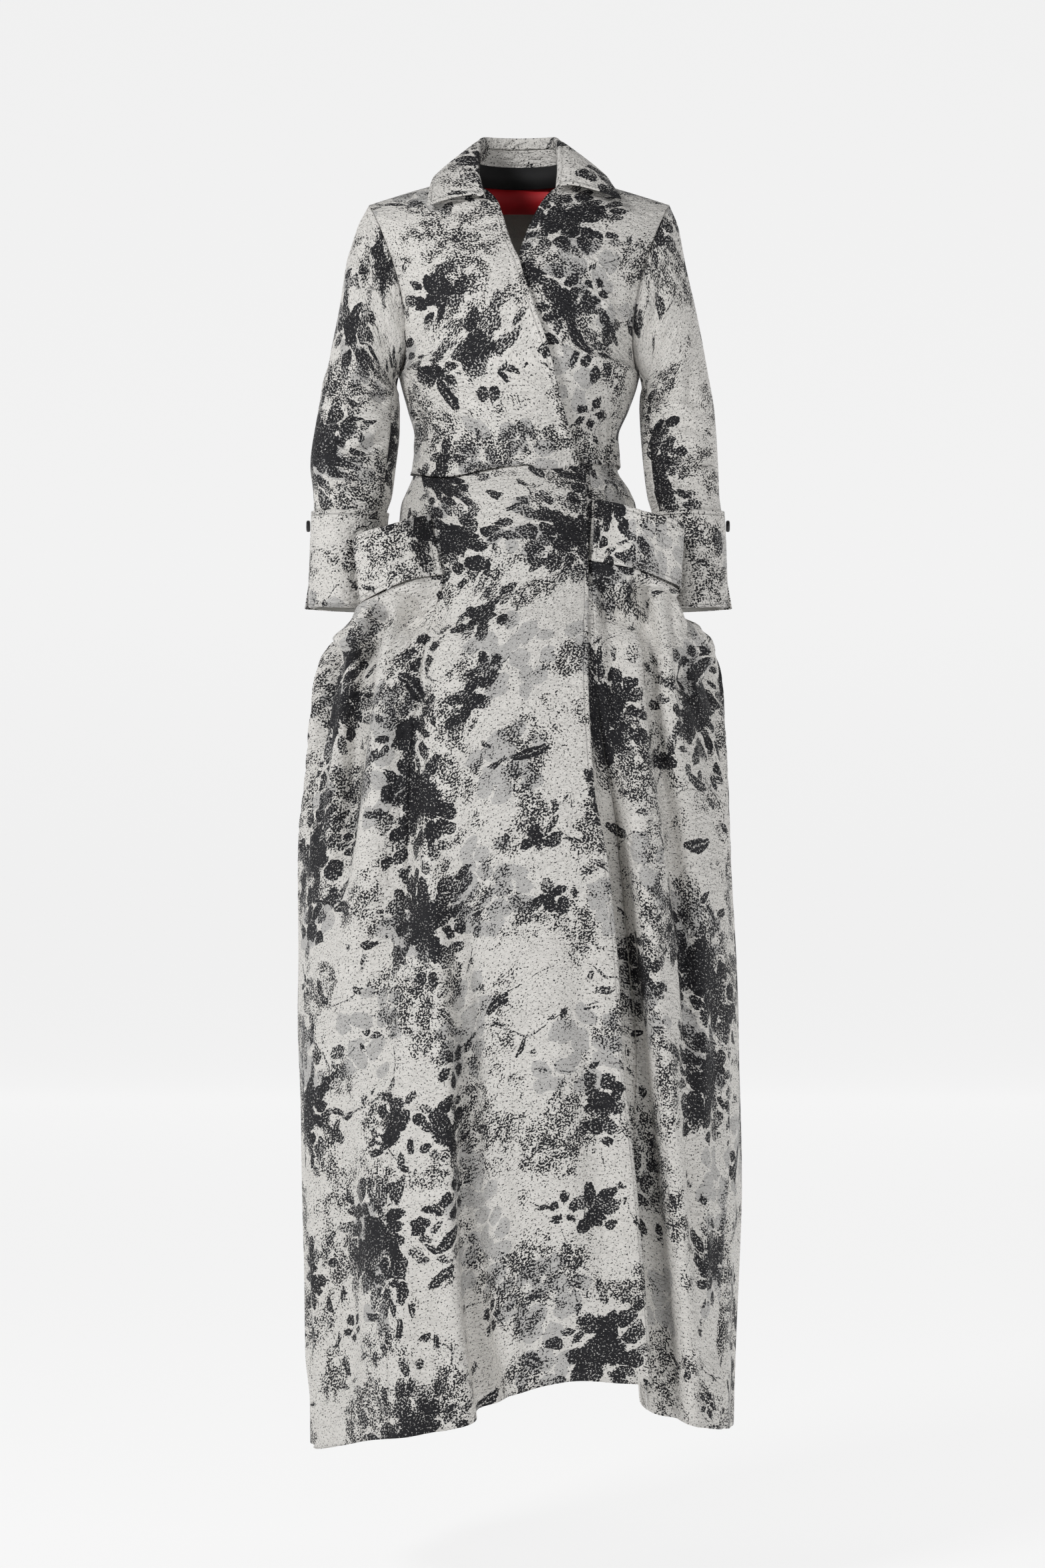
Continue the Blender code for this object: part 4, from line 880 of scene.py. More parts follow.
def hip_line(side, s):
    """The top edge of the full side: under the band, and on round the hip."""
    front = band_line(side, "low", np.clip(s / BAND_SHARE, 0, 1), -SIDE_INSET)
    front[..., 2] += POCKET_TOP[side] - BANDS[side]["low"][0][2]
    start = skirt(POCKET_TOP[side], seam_angle(side, np.array(POCKET_TOP[side])))
    front = front + (start - front[0]) * (1 - ease(s * FOOT_EASE))[:, None]
    end = band_line(side, "low", np.array(1.0), -SIDE_INSET)
    end[2] = front[-1][2]
    end_angle = angle_of(end)
    t = np.clip((s - BAND_SHARE) / (1 - BAND_SHARE), 0, 1)
    angle = lerp(end_angle, SIGN[side] * BACK_SEAM_ANGLE, t)
    height = lerp(end[2], HIP_FOOT, ease(t * HIP_FALL))
    hip = skirt(height, angle)
    hip = hip + (end - skirt(end[2], end_angle)) * (1 - ease(t * HIP_MEET))[:, None]
    return np.where((s <= BAND_SHARE)[:, None], front, hip)


print("top edges:", *(hip_line(side, np.array([0.0, 1.0])).round(0).tolist() for side in SIGN))

# %% Full sides
HANG = 85.0                 # height over which the gathers ease into the full skirt
HANG_POWER = 1.5
TOP_TURN = (0.6, 0.4)       # the share of the height where the angles lean to the top edge's


def side_panel(side):
    """The full side of the skirt, hung from the band's lower edge and the hip."""
    sign = SIGN[side]
    s = np.linspace(0, 1, SIDE_COLUMNS + 1)
    top = hip_line(side, s)
    top_angle = angle_of(top)
    base = lerp(seam_angle(side, top[0, 2]), sign * BACK_SEAM_ANGLE, s)
    v = LOW_SHARE[:, None]
    height = lerp(HEM_GUESS, top[None, :, 2], v)
    for _ in range(SIDE_ROUNDS):
        angle = lerp(seam_angle(side, height), sign * BACK_SEAM_ANGLE, s[None, :])
        angle = angle + (top_angle - base)[None, :] * beyond(v, TOP_TURN)
        height = lerp(HEM.read("height", angle)[:1], top[None, :, 2], v)
    points = skirt(height, with_gaps(height, angle, s[None, :], sign=sign))
    share = ease((height - (top[None, :, 2] - HANG)) / HANG) ** HANG_POWER
    points = points + (top - skirt(top[:, 2], top_angle))[None] * share[..., None]
    return points if sign > 0 else points[:, ::-1, :]


print("a full side has", SIDE_COLUMNS * (len(LOW_SHARE) - 1), "faces")

# %% Hip panels
FOOT_INSIDE = 3.7           # the hip panel's foot, inside the full side's top edge
FOOT_ABOVE = 1.0            # and above it, so that their walls stay apart
FOOT_TURN = 1.6             # how fast its angles leave those of the foot
FLOOR_POWER = 1.4           # how late it turns out to the foot


def hip_panel(side):
    """The close hip panel inside the pocket, turned out to the band at its foot."""
    sign = SIGN[side]
    s = np.linspace(0, 1, SIDE_COLUMNS + 1)
    top = hip_line(side, s)
    top_angle = angle_of(top)
    way = np.gradient(top, axis=0) * sign
    out = unit(stack(way[:, 1], -way[:, 0], 0 * s))
    foot = top - out * FOOT_INSIDE * ease(s * FOOT_EASE)[:, None] + np.array((0, 0, FOOT_ABOVE))
    base = lerp(seam_angle(side, top[0, 2]), sign * BACK_SEAM_ANGLE, s)
    v = HIGH_SHARE[:, None]
    height = lerp(foot[None, :, 2], HIP_GUESS, v)
    for _ in range(SIDE_ROUNDS):
        angle = lerp(seam_angle(side, height), sign * BACK_SEAM_ANGLE, s[None, :])
        angle = angle + (top_angle - base)[None, :] * (1 - ease(v * FOOT_TURN))
        height = lerp(foot[None, :, 2], waist_top(angle)[-1:], v)
    points = skirt(height, with_gaps(height, angle, s[None, :], sign=sign), lap=True)
    rise = (points[..., 2] - foot[None, :, 2]) / POCKET_FLOOR_RISE
    share = np.clip(1 - rise, 0, 1) ** FLOOR_POWER
    points = points + (foot - points[0])[None] * share[..., None]
    return points if sign > 0 else points[:, ::-1, :]


print("a hip panel has", SIDE_COLUMNS * (len(HIGH_SHARE) - 1), "faces")

# %% Bands
BAND_COLUMNS, BAND_ROWS = 44, 20
BAND_OFF = 0.6              # the band stands this far outside its path


def pocket_band(side):
    """The band between its two edges, kept clear of the skirt where it would dip into it."""
    t = np.linspace(0, 1, BAND_COLUMNS + 1)
    low = band_line(side, "low", t, BAND_OFF)
    high = band_line(side, "high", t, BAND_OFF)
    v = np.linspace(0, 1, BAND_ROWS + 1)[:, None, None]
    points = lerp(low[None], high[None], v)
    surface = skirt(points[..., 2], angle_of(points), lap=True)
    near = np.hypot(surface[..., 0], surface[..., 1]) + BAND_SEAT[side]
    far = np.hypot(points[..., 0], points[..., 1])
    points[..., :2] *= np.maximum(1, near / far)[..., None]
    return points if side == "right" else points[:, ::-1, :]


print("a band has", BAND_COLUMNS * BAND_ROWS, "faces")

# %% [markdown]
# ## Sleeves and cuffs
# Each sleeve is a front and a back half with a seam down either edge, bent a little at the
# elbow, and its cuff is turned back over the end with a vent at its outer side. A tube could
# be swept along a curve, but a sleeve's two edge lines are what shows in a front view. So
# every ring of it is drawn between its outer and its inner line, and near the top it eases
# into the armhole's own bent ring.

# %% Sleeves
def sleeve_point(side, part, angle):
    """A point of the sleeve: part is the way down it, angle 0 its outer line, 90 its front."""
    table = SLEEVES[side]
    a = np.radians(angle)
    outer, inner = (
        stack(table.read(line, part), table.read("middle", part), table.read(f"{line}_height", part))
        for line in ("outer", "inner")
    )
    outer[..., 1] = lerp(SHOULDER_Y, outer[..., 1], ease(part / SHOULDER_PART))
    deep = table.read("deep", part)
    middle = (outer + inner) / 2
    point = middle + np.cos(a)[..., None] * (outer - inner) / 2
    point[..., 1] = point[..., 1] - np.sin(a) * deep
    near = 1 - ease(part / ARMHOLE_PART)
    front = np.array(ARMHOLE_FRONT)
    back = np.array(ARMHOLE_BACK)
    top = np.array((SHOULDER_X, SHOULDER_Y, SHOULDER_HEIGHT))
    low = np.array(UNDERARM)
    saddle = (front + back) / 2 - (top + low) / 2
    sway = (front - back) / 2
    sway[1] = 0
    square = np.sin(a) ** 2
    point = point + (near * square)[..., None] * saddle + (near * np.sin(a))[..., None] * sway
    return point * np.array((SIGN[side], 1, 1))


SLEEVE_ROWS, SLEEVE_COLUMNS = 110, 40
UNDERARM_REACH = 0.08       # how far down the underarm's gap goes, along the sleeve


def sleeve(side, start, end):
    """One half of a sleeve between its two seams, from the armhole down to the cuff."""
    angles = np.linspace(start, end, SLEEVE_COLUMNS + 1)
    inset = math.degrees(TUBE_GAP / 2 / SLEEVES[side].read("deep", 0.5))
    angles = np.clip(angles, start + inset, end - inset)
    v = np.linspace(1, 0, SLEEVE_ROWS + 1)[:, None]
    points = sleeve_point(side, v + 0 * angles[None, :], angles[None, :] + 0 * v)
    points[-1] += unit(points[-2] - points[-1]) * ARMHOLE_GAP
    low = np.clip(-np.cos(np.radians(angles)), 0, 1) ** 2
    near = np.clip(1 - v / UNDERARM_REACH, 0, 1)
    points[..., 0] += SIGN[side] * UNDERARM_GAP * low[None, :] * near
    return points[:, ::-1, :] if side == "right" else points


print("sleeve ends:", *(sleeve_point(side, 1.0, 0.0).round(0).tolist() for side in SLEEVES))

# %% Cuffs
CUFF_ROWS, CUFF_COLUMNS = 26, 84
VENT_POWER = 1.2            # how the vent widens on its way down
FLARE_POWER = 8             # how near its edge the cuff flares out


def cuff(side):
    """The turned-back cuff, open in a vent at its outer side."""
    v = np.linspace(1, 0, CUFF_ROWS + 1)[:, None]
    u = np.linspace(0, 1, CUFF_COLUMNS + 1)[None, :]
    part = lerp(CUFF_START, CUFF_END, v)
    opening = np.clip((v - (1 - VENT_TOP)) / VENT_TOP, 0, 1) ** VENT_POWER
    half_gap = VENT_CLOSED + VENT_OPEN * opening
    angle = lerp(VENT_ANGLE + half_gap, VENT_ANGLE + 360 - half_gap, u)
    points = sleeve_point(side, part + 0 * u, angle)
    turned = (CUFF_LIFT[1] - CUFF_SEAT) * np.clip(1 - (1 - v) * CUFF_ROWS, 0, 1)
    out = lerp(CUFF_LIFT[0], CUFF_LIFT[1], v) - turned + VENT_FLARE * opening * u ** FLARE_POWER
    centre = sum(sleeve_point(side, part, where + 0 * part) for where in (90, 270)) / 2
    points = points + level_part(points - centre) * (out + 0 * u)[..., None]
    return points[:, ::-1, :] if side == "right" else points


print("a cuff has", CUFF_ROWS * CUFF_COLUMNS, "faces")

# %% [markdown]
# ## Collar, tape and label
# A shirt collar is two pieces: a stand sewn to the neckline, and a leaf that rolls over it
# and falls to its pointed edge. Three lines round the neck give both: the neck seam, the
# roll and the leaf's edge. The leaf could be a flat piece folded by a simulation, but rows
# laid between those lines keep its points where they belong. A black tape covers the neck
# seam inside, and a blank red label hangs below it.

# %% Collar leaf and stand
LEAF_COLUMNS, STAND_COLUMNS, STAND_ROWS = 26, 20, 3
LEAF_SWELL_OUT = 0.4        # how far the leaf swells outward, as a share of its swell upward
UP = np.array((0, 0, 1.0))


def neck_line(table, turn):
    return stack(table.read("x", turn), table.read("y", turn), table.read("height", turn))


def from_roll(turn):
    """The roll line, and the level way from it out to the leaf's edge."""
    roll = neck_line(ROLL_LINE, turn)
    return roll, level_part(neck_line(LEAF_EDGE, turn) - roll)


def tuck(turn):
    """How far the leaf goes down inside, less at its two ends."""
    near = ease(np.minimum(turn, 1 - turn) / LEAF_TUCK_TURN)
    return lerp(LEAF_TUCK_END, LEAF_TUCK, near)[:, None]


def collar_leaf():
    """From the stand up inside, over the roll and down to the pointed edge."""
    turn = np.linspace(0, 1, LEAF_COLUMNS + 1)
    roll, flat = from_roll(turn)
    edge = neck_line(LEAF_EDGE, turn)
    rows = [edge]
    for share, swell in LEAF_ROWS:
        rows.append(roll + (edge - roll) * share + UP * swell + flat * swell * LEAF_SWELL_OUT)
    for out, rise in ROLL_ROWS:
        rows.append(roll + flat * out + UP * rise)
    rows.append(roll - flat * ROLL_INSIDE - UP * tuck(turn))
    return np.array(rows)


def collar_stand():
    """From the neck seam up to just below the leaf's inner edge."""
    turn = np.linspace(*STAND_TURNS, STAND_COLUMNS + 1)
    roll, flat = from_roll(turn)
    high = roll - flat * ROLL_INSIDE - UP * (tuck(turn) + STAND_GAP)
    low = neck_line(NECK_SEAM, turn) + UP * STAND_LOW[1] - flat * STAND_LOW[0]
    v = np.linspace(0, 1, STAND_ROWS + 1)[:, None, None]
    return lerp(low[None], high[None], v)


point, roll_end = collar_leaf()[0, 0], collar_leaf()[-2, 0]
print("the leaf is", np.linalg.norm(point - roll_end).round(1), "mm deep at its point")

# %% Tape and label
TAPE_COLUMNS, LABEL_COLUMNS = 8, 6


def neck_tape():
    """A strip inside the back of the neck, in from the stand and the back."""
    turn = np.linspace(*TAPE_TURNS, TAPE_COLUMNS + 1)[None, :]
    height = np.array(TAPE_HEIGHTS)[:, None]
    seam = neck_line(NECK_SEAM, turn)
    roll, flat = from_roll(turn)
    share = (height - seam[..., 2]) / (roll[..., 2] - seam[..., 2])
    points = lerp(seam, roll, np.clip(share, 0, 1)[..., None])
    points[..., 2] = height + 0 * turn
    return points - flat * TAPE_INSET


def label_patch():
    """A flat patch that hangs inside the back, behind the tape."""
    x = np.linspace(LABEL_HALF, -LABEL_HALF, LABEL_COLUMNS + 1)[None, :]
    height = np.array(LABEL_HEIGHTS)[:, None] + 0 * x
    level = level_of(BACK, x, height)
    points = torso(BACK, level, turn_of(BACK, level, x + 0 * height))
    points[..., 2] = height
    tape = neck_line(NECK_SEAM, np.array(0.5))[1] - TAPE_INSET
    points[..., 1] = np.minimum(points[..., 1] - LABEL_INSET, tape + LABEL_BEHIND)
    return points


print("the label is", 2 * LABEL_HALF, "mm wide")

# %% [markdown]
# ## Shader maths as plain expressions
# A woven print is worked out from many small sums on the cloth's own coordinates. Wiring
# every Math node by hand hides the idea, so one small class wraps a socket and lets Python's
# own operators add the nodes.

# %% A socket that can be added, multiplied and compared
class Sum:
    """A shader value: an expression on it adds the Math nodes that work it out."""

    def __init__(self, cloth, socket):
        self.cloth, self.socket = cloth, socket

    def maths(self, operation, *others):
        return self.cloth.combine("ShaderNodeMath", operation, self, *others)

    def __add__(self, other):
        return self.maths("ADD", other)

    def __radd__(self, other):
        return self.maths("ADD", other)

    def __sub__(self, other):
        return self.maths("SUBTRACT", other)

    def __rsub__(self, other):
        return self.cloth.value(other).maths("SUBTRACT", self)

    def __mul__(self, other):
        return self.maths("MULTIPLY", other)

    def __rmul__(self, other):
        return self.maths("MULTIPLY", other)

    def __truediv__(self, other):
        return self.maths("DIVIDE", other)

    def __gt__(self, other):
        return self.maths("GREATER_THAN", other)

    def power(self, other):
        return self.maths("POWER", other)

    def max(self, other):
        return self.maths("MAXIMUM", other)

    def angle_to(self, other):
        return self.maths("ARCTAN2", other)

    def sin(self):
        return self.maths("SINE")

    def cos(self):
        return self.maths("COSINE")

    def abs(self):
        return self.maths("ABSOLUTE")

    def between(self, low, high):
        """0 below low, 1 above high and an eased ramp between them."""
        return self.cloth.node("ShaderNodeMapRange", {"interpolation_type": "SMOOTHSTEP"},
                               Value=self, From_Min=low, From_Max=high)


print("a shader value can be added, subtracted, multiplied, divided and compared")


# %% A material in the making
class Finish:
    """A material in the making, with one method that adds any node."""

    def __init__(self, name):
        self.material = bpy.data.materials.new(name)
        self.material.use_nodes = True
        self.tree = self.material.node_tree
        self.shader = self.tree.nodes["Principled BSDF"]

    def node(self, kind, settings=None, output=0, **sockets):
        made = self.tree.nodes.new(kind)
        for key, value in (settings or {}).items():
            setattr(made, key, value)
        for key, value in sockets.items():
            key = int(key[2:]) if key.startswith("in") and key[2:].isdigit() else key.replace("_", " ")
            self.feed(made.inputs[key], value)
        return Sum(self, made.outputs[output])

    def combine(self, kind, operation, *values):
        """A Math or Vector Math node on values or sockets, in their order."""
        return self.node(kind, {"operation": operation}, **{f"in{i}": v for i, v in enumerate(values)})

    def feed(self, socket, value):
        if isinstance(value, Sum):
            self.tree.links.new(value.socket, socket)
        else:
            socket.default_value = value

    def parts(self, kind, whole):
        """The three numbers that a vector or a colour is made of."""
        first = self.node(kind, in0=whole)
        return [Sum(self, socket) for socket in first.socket.node.outputs[:3]]

    def value(self, number):
        made = self.tree.nodes.new("ShaderNodeValue")
        made.outputs[0].default_value = number
        return Sum(self, made.outputs[0])

    def set(self, name, value):
        self.feed(self.shader.inputs[name], value)

    def mix(self, share, a, b):
        """A colour between a and b."""
        made = self.tree.nodes.new("ShaderNodeMix")
        made.data_type = "RGBA"
        colours = [s for s in made.inputs if s.type == "RGBA"]
        self.feed(made.inputs[0], share)
        self.feed(colours[0], a)
        self.feed(colours[1], b)
        return Sum(self, next(s for s in made.outputs if s.type == "RGBA"))


print("shader maths ready")

# %% [markdown]
# ## The woven print
# The jacquard weaves a painterly bouquet in black on ivory. Nothing of it is solid: every
# petal breaks up at its edge into short flecks, because the loom can only lift or drop a
# thread. So each motif is drawn as a soft density, and one fine noise decides fleck by fleck
# whether the dark thread shows. A printed image would be quicker, but it stretches, and its
# flecks blur from near. Here every petal, leaf and blossom has its own cell of a Voronoi
# pattern, with a turn, size and tone of its own, so the print never repeats visibly.

# %% Motifs of the print
def noise(cloth, place, scale, detail=2.0, roughness=0.55, output="Fac"):
    return cloth.node("ShaderNodeTexNoise", {"noise_dimensions": "2D"}, output=output,
                      Vector=place, Scale=scale, Detail=detail, Roughness=roughness)


def cells(cloth, place, spread, seed, even=0.9):
    """Coordinates within each cell of a scattered pattern, its three chances and its centre."""
    move = (seed, seed * 0.7, 0)
    shifted = cloth.combine("ShaderNodeVectorMath", "ADD", place, move)
    cell = cloth.node("ShaderNodeTexVoronoi", {"voronoi_dimensions": "2D"}, output="Color",
                      Vector=shifted, Scale=1 / spread, Randomness=even)
    centre = Sum(cloth, cell.socket.node.outputs["Position"])
    here = cloth.combine("ShaderNodeVectorMath", "SUBTRACT", shifted, centre)
    x, y = cloth.parts("ShaderNodeSeparateXYZ", here)[:2]
    back = cloth.combine("ShaderNodeVectorMath", "SUBTRACT", centre, move)
    return x, y, cloth.parts("ShaderNodeSeparateColor", cell), back


HEART_SEED, HEART_EVEN = 3.3, 0.75      # another scatter for the hearts than for the petals


def bouquet(cloth, place, spread, size, petal, long, wide, keep, seed, swing=1.0):
    """Whole petals round scattered hearts; each points away from its heart and has its tone."""
    x, y, (chance, turn, big), own = cells(cloth, place, petal, seed)
    u, v, (kept, _, reach), _ = cells(cloth, own, spread, seed + HEART_SEED, HEART_EVEN)
    far = (u * u + v * v).power(0.5) / (size * (0.65 + 0.7 * reach))
    swung = v.angle_to(u) + (turn - 0.5) * swing
    c, s = swung.cos(), swung.sin()
    a = (x * c + y * s) / (long * (0.75 + 0.5 * big))
    b = (y * c - x * s) / (wide * (0.75 + 0.5 * big))
    oval = (1 - a * a - b * b).between(0.0, 0.30)
    here = (kept > 1 - keep) * (1.0 + 0.35 * (chance - 0.5) > far)
    tone = (1.22 - 0.36 * far - 0.42 * turn - 0.12 * a).between(0.0, 1.0)
    m, n, (held, _, wide_heart), _ = cells(cloth, place, spread, seed + HEART_SEED, HEART_EVEN)
    near = (m * m + n * n).power(0.5) / (size * (0.65 + 0.7 * wide_heart))
    ragged = (noise(cloth, place, 55.0, 2.0) - 0.5) * 0.9
    return here * oval * tone, (held > 1 - keep) * (1 - near + ragged)


ROUND = 6.28                # a full turn, in radians


def blossom(cloth, place, spread, size, petals, keep, seed):
    """A small flower of separate petals round a clear eye."""
    x, y, (chance, turn, big), _ = cells(cloth, place, spread, seed)
    away = (x * x + y * y).power(0.5) / (size * (0.7 + 0.5 * big))
    angle = y.angle_to(x) + turn * ROUND
    petal = (angle * (petals / 2)).sin().abs()
    shape = petal * 1.25 - (away - 0.62).abs() * 2.1
    return (chance > 1 - keep) * shape.between(0.15, 0.75)


LEAST_TONE = 0.80           # of the palest leaf


def leaves(cloth, place, spread, long, wide, keep, seed):
    """Single leaves, each an oval turned its own way with a pale midrib and its own tone."""
    x, y, (chance, turn, big), _ = cells(cloth, place, spread, seed)
    c, s = (turn * ROUND).cos(), (turn * ROUND).sin()
    a = (x * c + y * s) / (long * (0.7 + 0.6 * big))
    b = (y * c - x * s) / wide + a * a * 0.5
    oval = 1 - a * a - b * b
    rib = (b + 0.1).abs().between(0.0, 0.22)
    tone = LEAST_TONE + (1.04 - LEAST_TONE) * big.between(0.2, 0.8)
    return (chance > 1 - keep) * oval.between(0.0, 0.35) * (0.55 + 0.45 * rib) * tone


print("four kinds of motif")

# %% Colours and sizes of the print
IVORY = (0.800, 0.778, 0.742, 1)
THREAD_BLACK = (0.010, 0.010, 0.013, 1)
THREAD_GREY = (0.36, 0.36, 0.365, 1)
FLECK = 1 / 0.0024          # flecks of dark thread are about this long, in metres
STITCH_LINE, STITCH_WIDTH = 0.0055, 0.0011   # a stitched edge's groove, in from the edge
BLISTER_DEPTH, BLISTERS, BLISTER_STRETCH = 0.0080, 88.0, (1.0, 2.1, 1.0)

# Lengths in metres: the flowers' spread and size, their petals' spread, length and width.
# Keep is the share of the cells that hold a motif, and swing how far its petals lean.
LARGE = dict(spread=0.165, size=0.045, petal=0.0235, long=0.0138, wide=0.0100, keep=0.64,
             seed=0.0, swing=1.4)
OUTER = dict(spread=0.165, size=0.066, petal=0.0240, long=0.0120, wide=0.0064, keep=0.64,
             seed=0.0)
SMALL = dict(spread=0.115, size=0.029, petal=0.0195, long=0.0118, wide=0.0080, keep=0.34,
             seed=4.3, swing=1.4)
PALE = dict(spread=0.150, size=0.050, petal=0.0240, long=0.0150, wide=0.0105, keep=0.65,
            seed=12.0, swing=3.0)
BLOSSOM = dict(spread=0.085, size=0.022, petals=5, keep=0.16, seed=3.1)
SPRAY = dict(spread=0.024, long=0.012, wide=0.0048, keep=0.70, seed=7.9)
LEAF = dict(spread=0.085, long=0.022, wide=0.0085, keep=0.25, seed=9.4)
print("flowers are about", round(2 * LARGE["size"] * 1000), "mm across")

# %% Ivory jacquard
def shaken(cloth, place, scale, reach):
    """The cloth's coordinates moved about, so that no edge of a motif is drawn clean."""
    wander = noise(cloth, place, scale, 3.0, 0.6, "Color")
    centred = cloth.combine("ShaderNodeVectorMath", "SUBTRACT", wander, (0.5, 0.5, 0.5))
    moved = cloth.node("ShaderNodeVectorMath", {"operation": "SCALE"}, in0=centred, Scale=reach)
    return cloth.combine("ShaderNodeVectorMath", "ADD", place, moved)


def motifs(cloth, uv, ragged):
    """How densely the dark thread covers the cloth, from all the motifs."""
    petals, core = bouquet(cloth, ragged, **LARGE)
    dark = petals.max(core.between(0.42, 0.62) * 0.95)
    petals, core = bouquet(cloth, ragged, **SMALL)
    dark = dark.max(petals).max(core.between(0.48, 0.68) * 0.92)
    petals, _ = bouquet(cloth, ragged, **OUTER)
    dark = dark.max(petals * 0.92).max(blossom(cloth, ragged, **BLOSSOM) * 0.9)
    bend = (noise(cloth, uv, 9.0, 0.5) - 0.5).abs()
    spray = 1 - bend.between(0.020, 0.055)
    dark = dark.max(leaves(cloth, ragged, **SPRAY) * spray * 0.9)
    dark = dark.max(leaves(cloth, ragged, **LEAF) * 0.95)
    stem = (1 - bend.between(0.003, 0.009)) * (noise(cloth, uv, 26.0, 1.0) > 0.52)
    return dark.max(stem * 0.55)


def jacquard(name):
    cloth = Finish(name)
    uv = cloth.node("ShaderNodeUVMap", {"uv_map": "cloth"})
    loose = shaken(cloth, uv, 16.0, 0.022)
    ragged = shaken(cloth, loose, 190.0, 0.0032)
    dark = motifs(cloth, uv, ragged)
    haze = noise(cloth, loose, 11.0, 3.0, 0.60).between(0.48, 0.60)
    near = noise(cloth, ragged, 62.0, 2.0)
    fleck = noise(cloth, uv, FLECK, 1.5, 0.65).between(0.27, 0.73)
    density = dark.max(haze * 0.60 * (near * 3.0 - 0.8).between(0.0, 1.0) + 0.07)
    ink = (density - fleck).between(-0.01, 0.03)
    pale, _ = bouquet(cloth, ragged, **PALE)
    colour = cloth.mix(pale.between(0.1, 0.5) * (0.40 + 0.24 * fleck), IVORY, THREAD_GREY)
    colour = cloth.mix(dark.between(0.15, 0.9) * 0.48, colour, THREAD_GREY)
    cloth.set("Base Color", cloth.mix(ink, colour, THREAD_BLACK))
    cloth.set("Roughness", 0.50 + 0.14 * ink)
    cloth.set("Specular IOR Level", 0.35)
    crinkle_at = cloth.node("ShaderNodeMapping", Vector=loose, Scale=BLISTER_STRETCH)
    crinkle = noise(cloth, crinkle_at, BLISTERS, 2.5)
    weave = noise(cloth, uv, 900.0, 1.0)
    edge = cloth.parts("ShaderNodeSeparateXYZ", cloth.node("ShaderNodeUVMap", {"uv_map": "edge"}))[0]
    seam = 1 - (edge - STITCH_LINE).abs().between(0.0, STITCH_WIDTH)
    height = crinkle + weave * 0.10 - ink * 0.10 - seam * 0.45
    bump = cloth.node("ShaderNodeBump", Strength=0.75, Distance=BLISTER_DEPTH, Height=height)
    cloth.set("Normal", bump)
    return cloth.material


print_cloth = jacquard("ivory_jacquard")
print(len(print_cloth.node_tree.nodes), "nodes in the jacquard")

# %% [markdown]
# ## Plain cloths and buttons
# The jacquard's wrong side, the tape and the label are plain weaves, and the buttons are
# horn. Each could be one flat colour, but cloth is never quite even. So one function clouds
# the colour a little and gives each its own fine grain.

# %% Plain cloths and horn
CLOUDS, SHADE = 30.0, 0.88  # the size of the clouds, and how dark they get


def plain(name, colour, roughness, grain, depth):
    """A plain cloth, tape or horn, with a grain of its own."""
    cloth = Finish(name)
    place = cloth.node("ShaderNodeTexCoord", output="Object")
    cloud = cloth.node("ShaderNodeTexNoise", output="Fac", Vector=place, Scale=CLOUDS, Detail=3.0)
    cloth.set("Base Color", cloth.mix(cloud, (*(c * SHADE for c in colour), 1), (*colour, 1)))
    cloth.set("Roughness", roughness)
    weave = cloth.node("ShaderNodeTexNoise", output="Fac", Vector=place, Scale=grain, Detail=2.0)
    cloth.set("Normal", cloth.node("ShaderNodeBump", Strength=0.5, Distance=depth, Height=weave))
    return cloth.material


back_cloth = plain("ivory_wrong_side", (0.60, 0.59, 0.56), 0.7, 700.0, 0.0008)
tape_cloth = plain("black_tape", (0.010, 0.010, 0.011), 0.8, 1400.0, 0.0004)
label_cloth = plain("red_label", (0.66, 0.005, 0.014), 0.6, 1800.0, 0.0003)
button_horn = plain("dark_button", (0.012, 0.012, 0.013), 0.28, 160.0, 0.0002)
print("plain finishes:", *(made.name for made in (back_cloth, tape_cloth, label_cloth, button_horn)))

# %% [markdown]
# ## Sewing a panel
# Each panel is a grid that is laid on its surface. Its UV map holds the cloth's own
# coordinates in metres, measured along the panel as a cutter would, so the print keeps its
# scale on every piece, and runs on over a seam where the measuring starts from that seam.
# A second map holds how far each point is from a stitched edge. Solidify gives the wall,
# with the plain wrong side of the jacquard inside.

# %% Cloth coordinates
FAR = 500.0                 # stands for no stitched edge nearby, in millimetres


def cloth_measure(points, start=None):
    """Distances along the panel's rows from one column, and up that column, in millimetres."""
    start = points.shape[1] // 2 if start is None else start
    across = np.linalg.norm(np.diff(points, axis=1), axis=-1)
    along_row = np.concatenate([np.zeros((points.shape[0], 1)), np.cumsum(across, axis=1)], axis=1)
    along_row = along_row - along_row[:, start][:, None]
    up = np.linalg.norm(np.diff(points[:, start], axis=0), axis=-1)
    along_up = np.concatenate([[0], np.cumsum(up)])[:, None] + 0 * along_row
    return along_row, along_up


def edge_measure(points, stitched):
    """How far each point is from the panel's stitched edges, in millimetres."""
    across, up = cloth_measure(points)
    to_edge = {
        "left": across - across[:, :1], "right": across[:, -1:] - across,
        "low": up - up[:1], "high": up[-1:] - up,
    }
    nearest = np.full(points.shape[:2], FAR)
    for name in stitched:
        nearest = np.minimum(nearest, to_edge[name])
    return nearest


print("the leaf's edge is", np.ptp(cloth_measure(collar_leaf())[0][0]).round(1), "mm long")
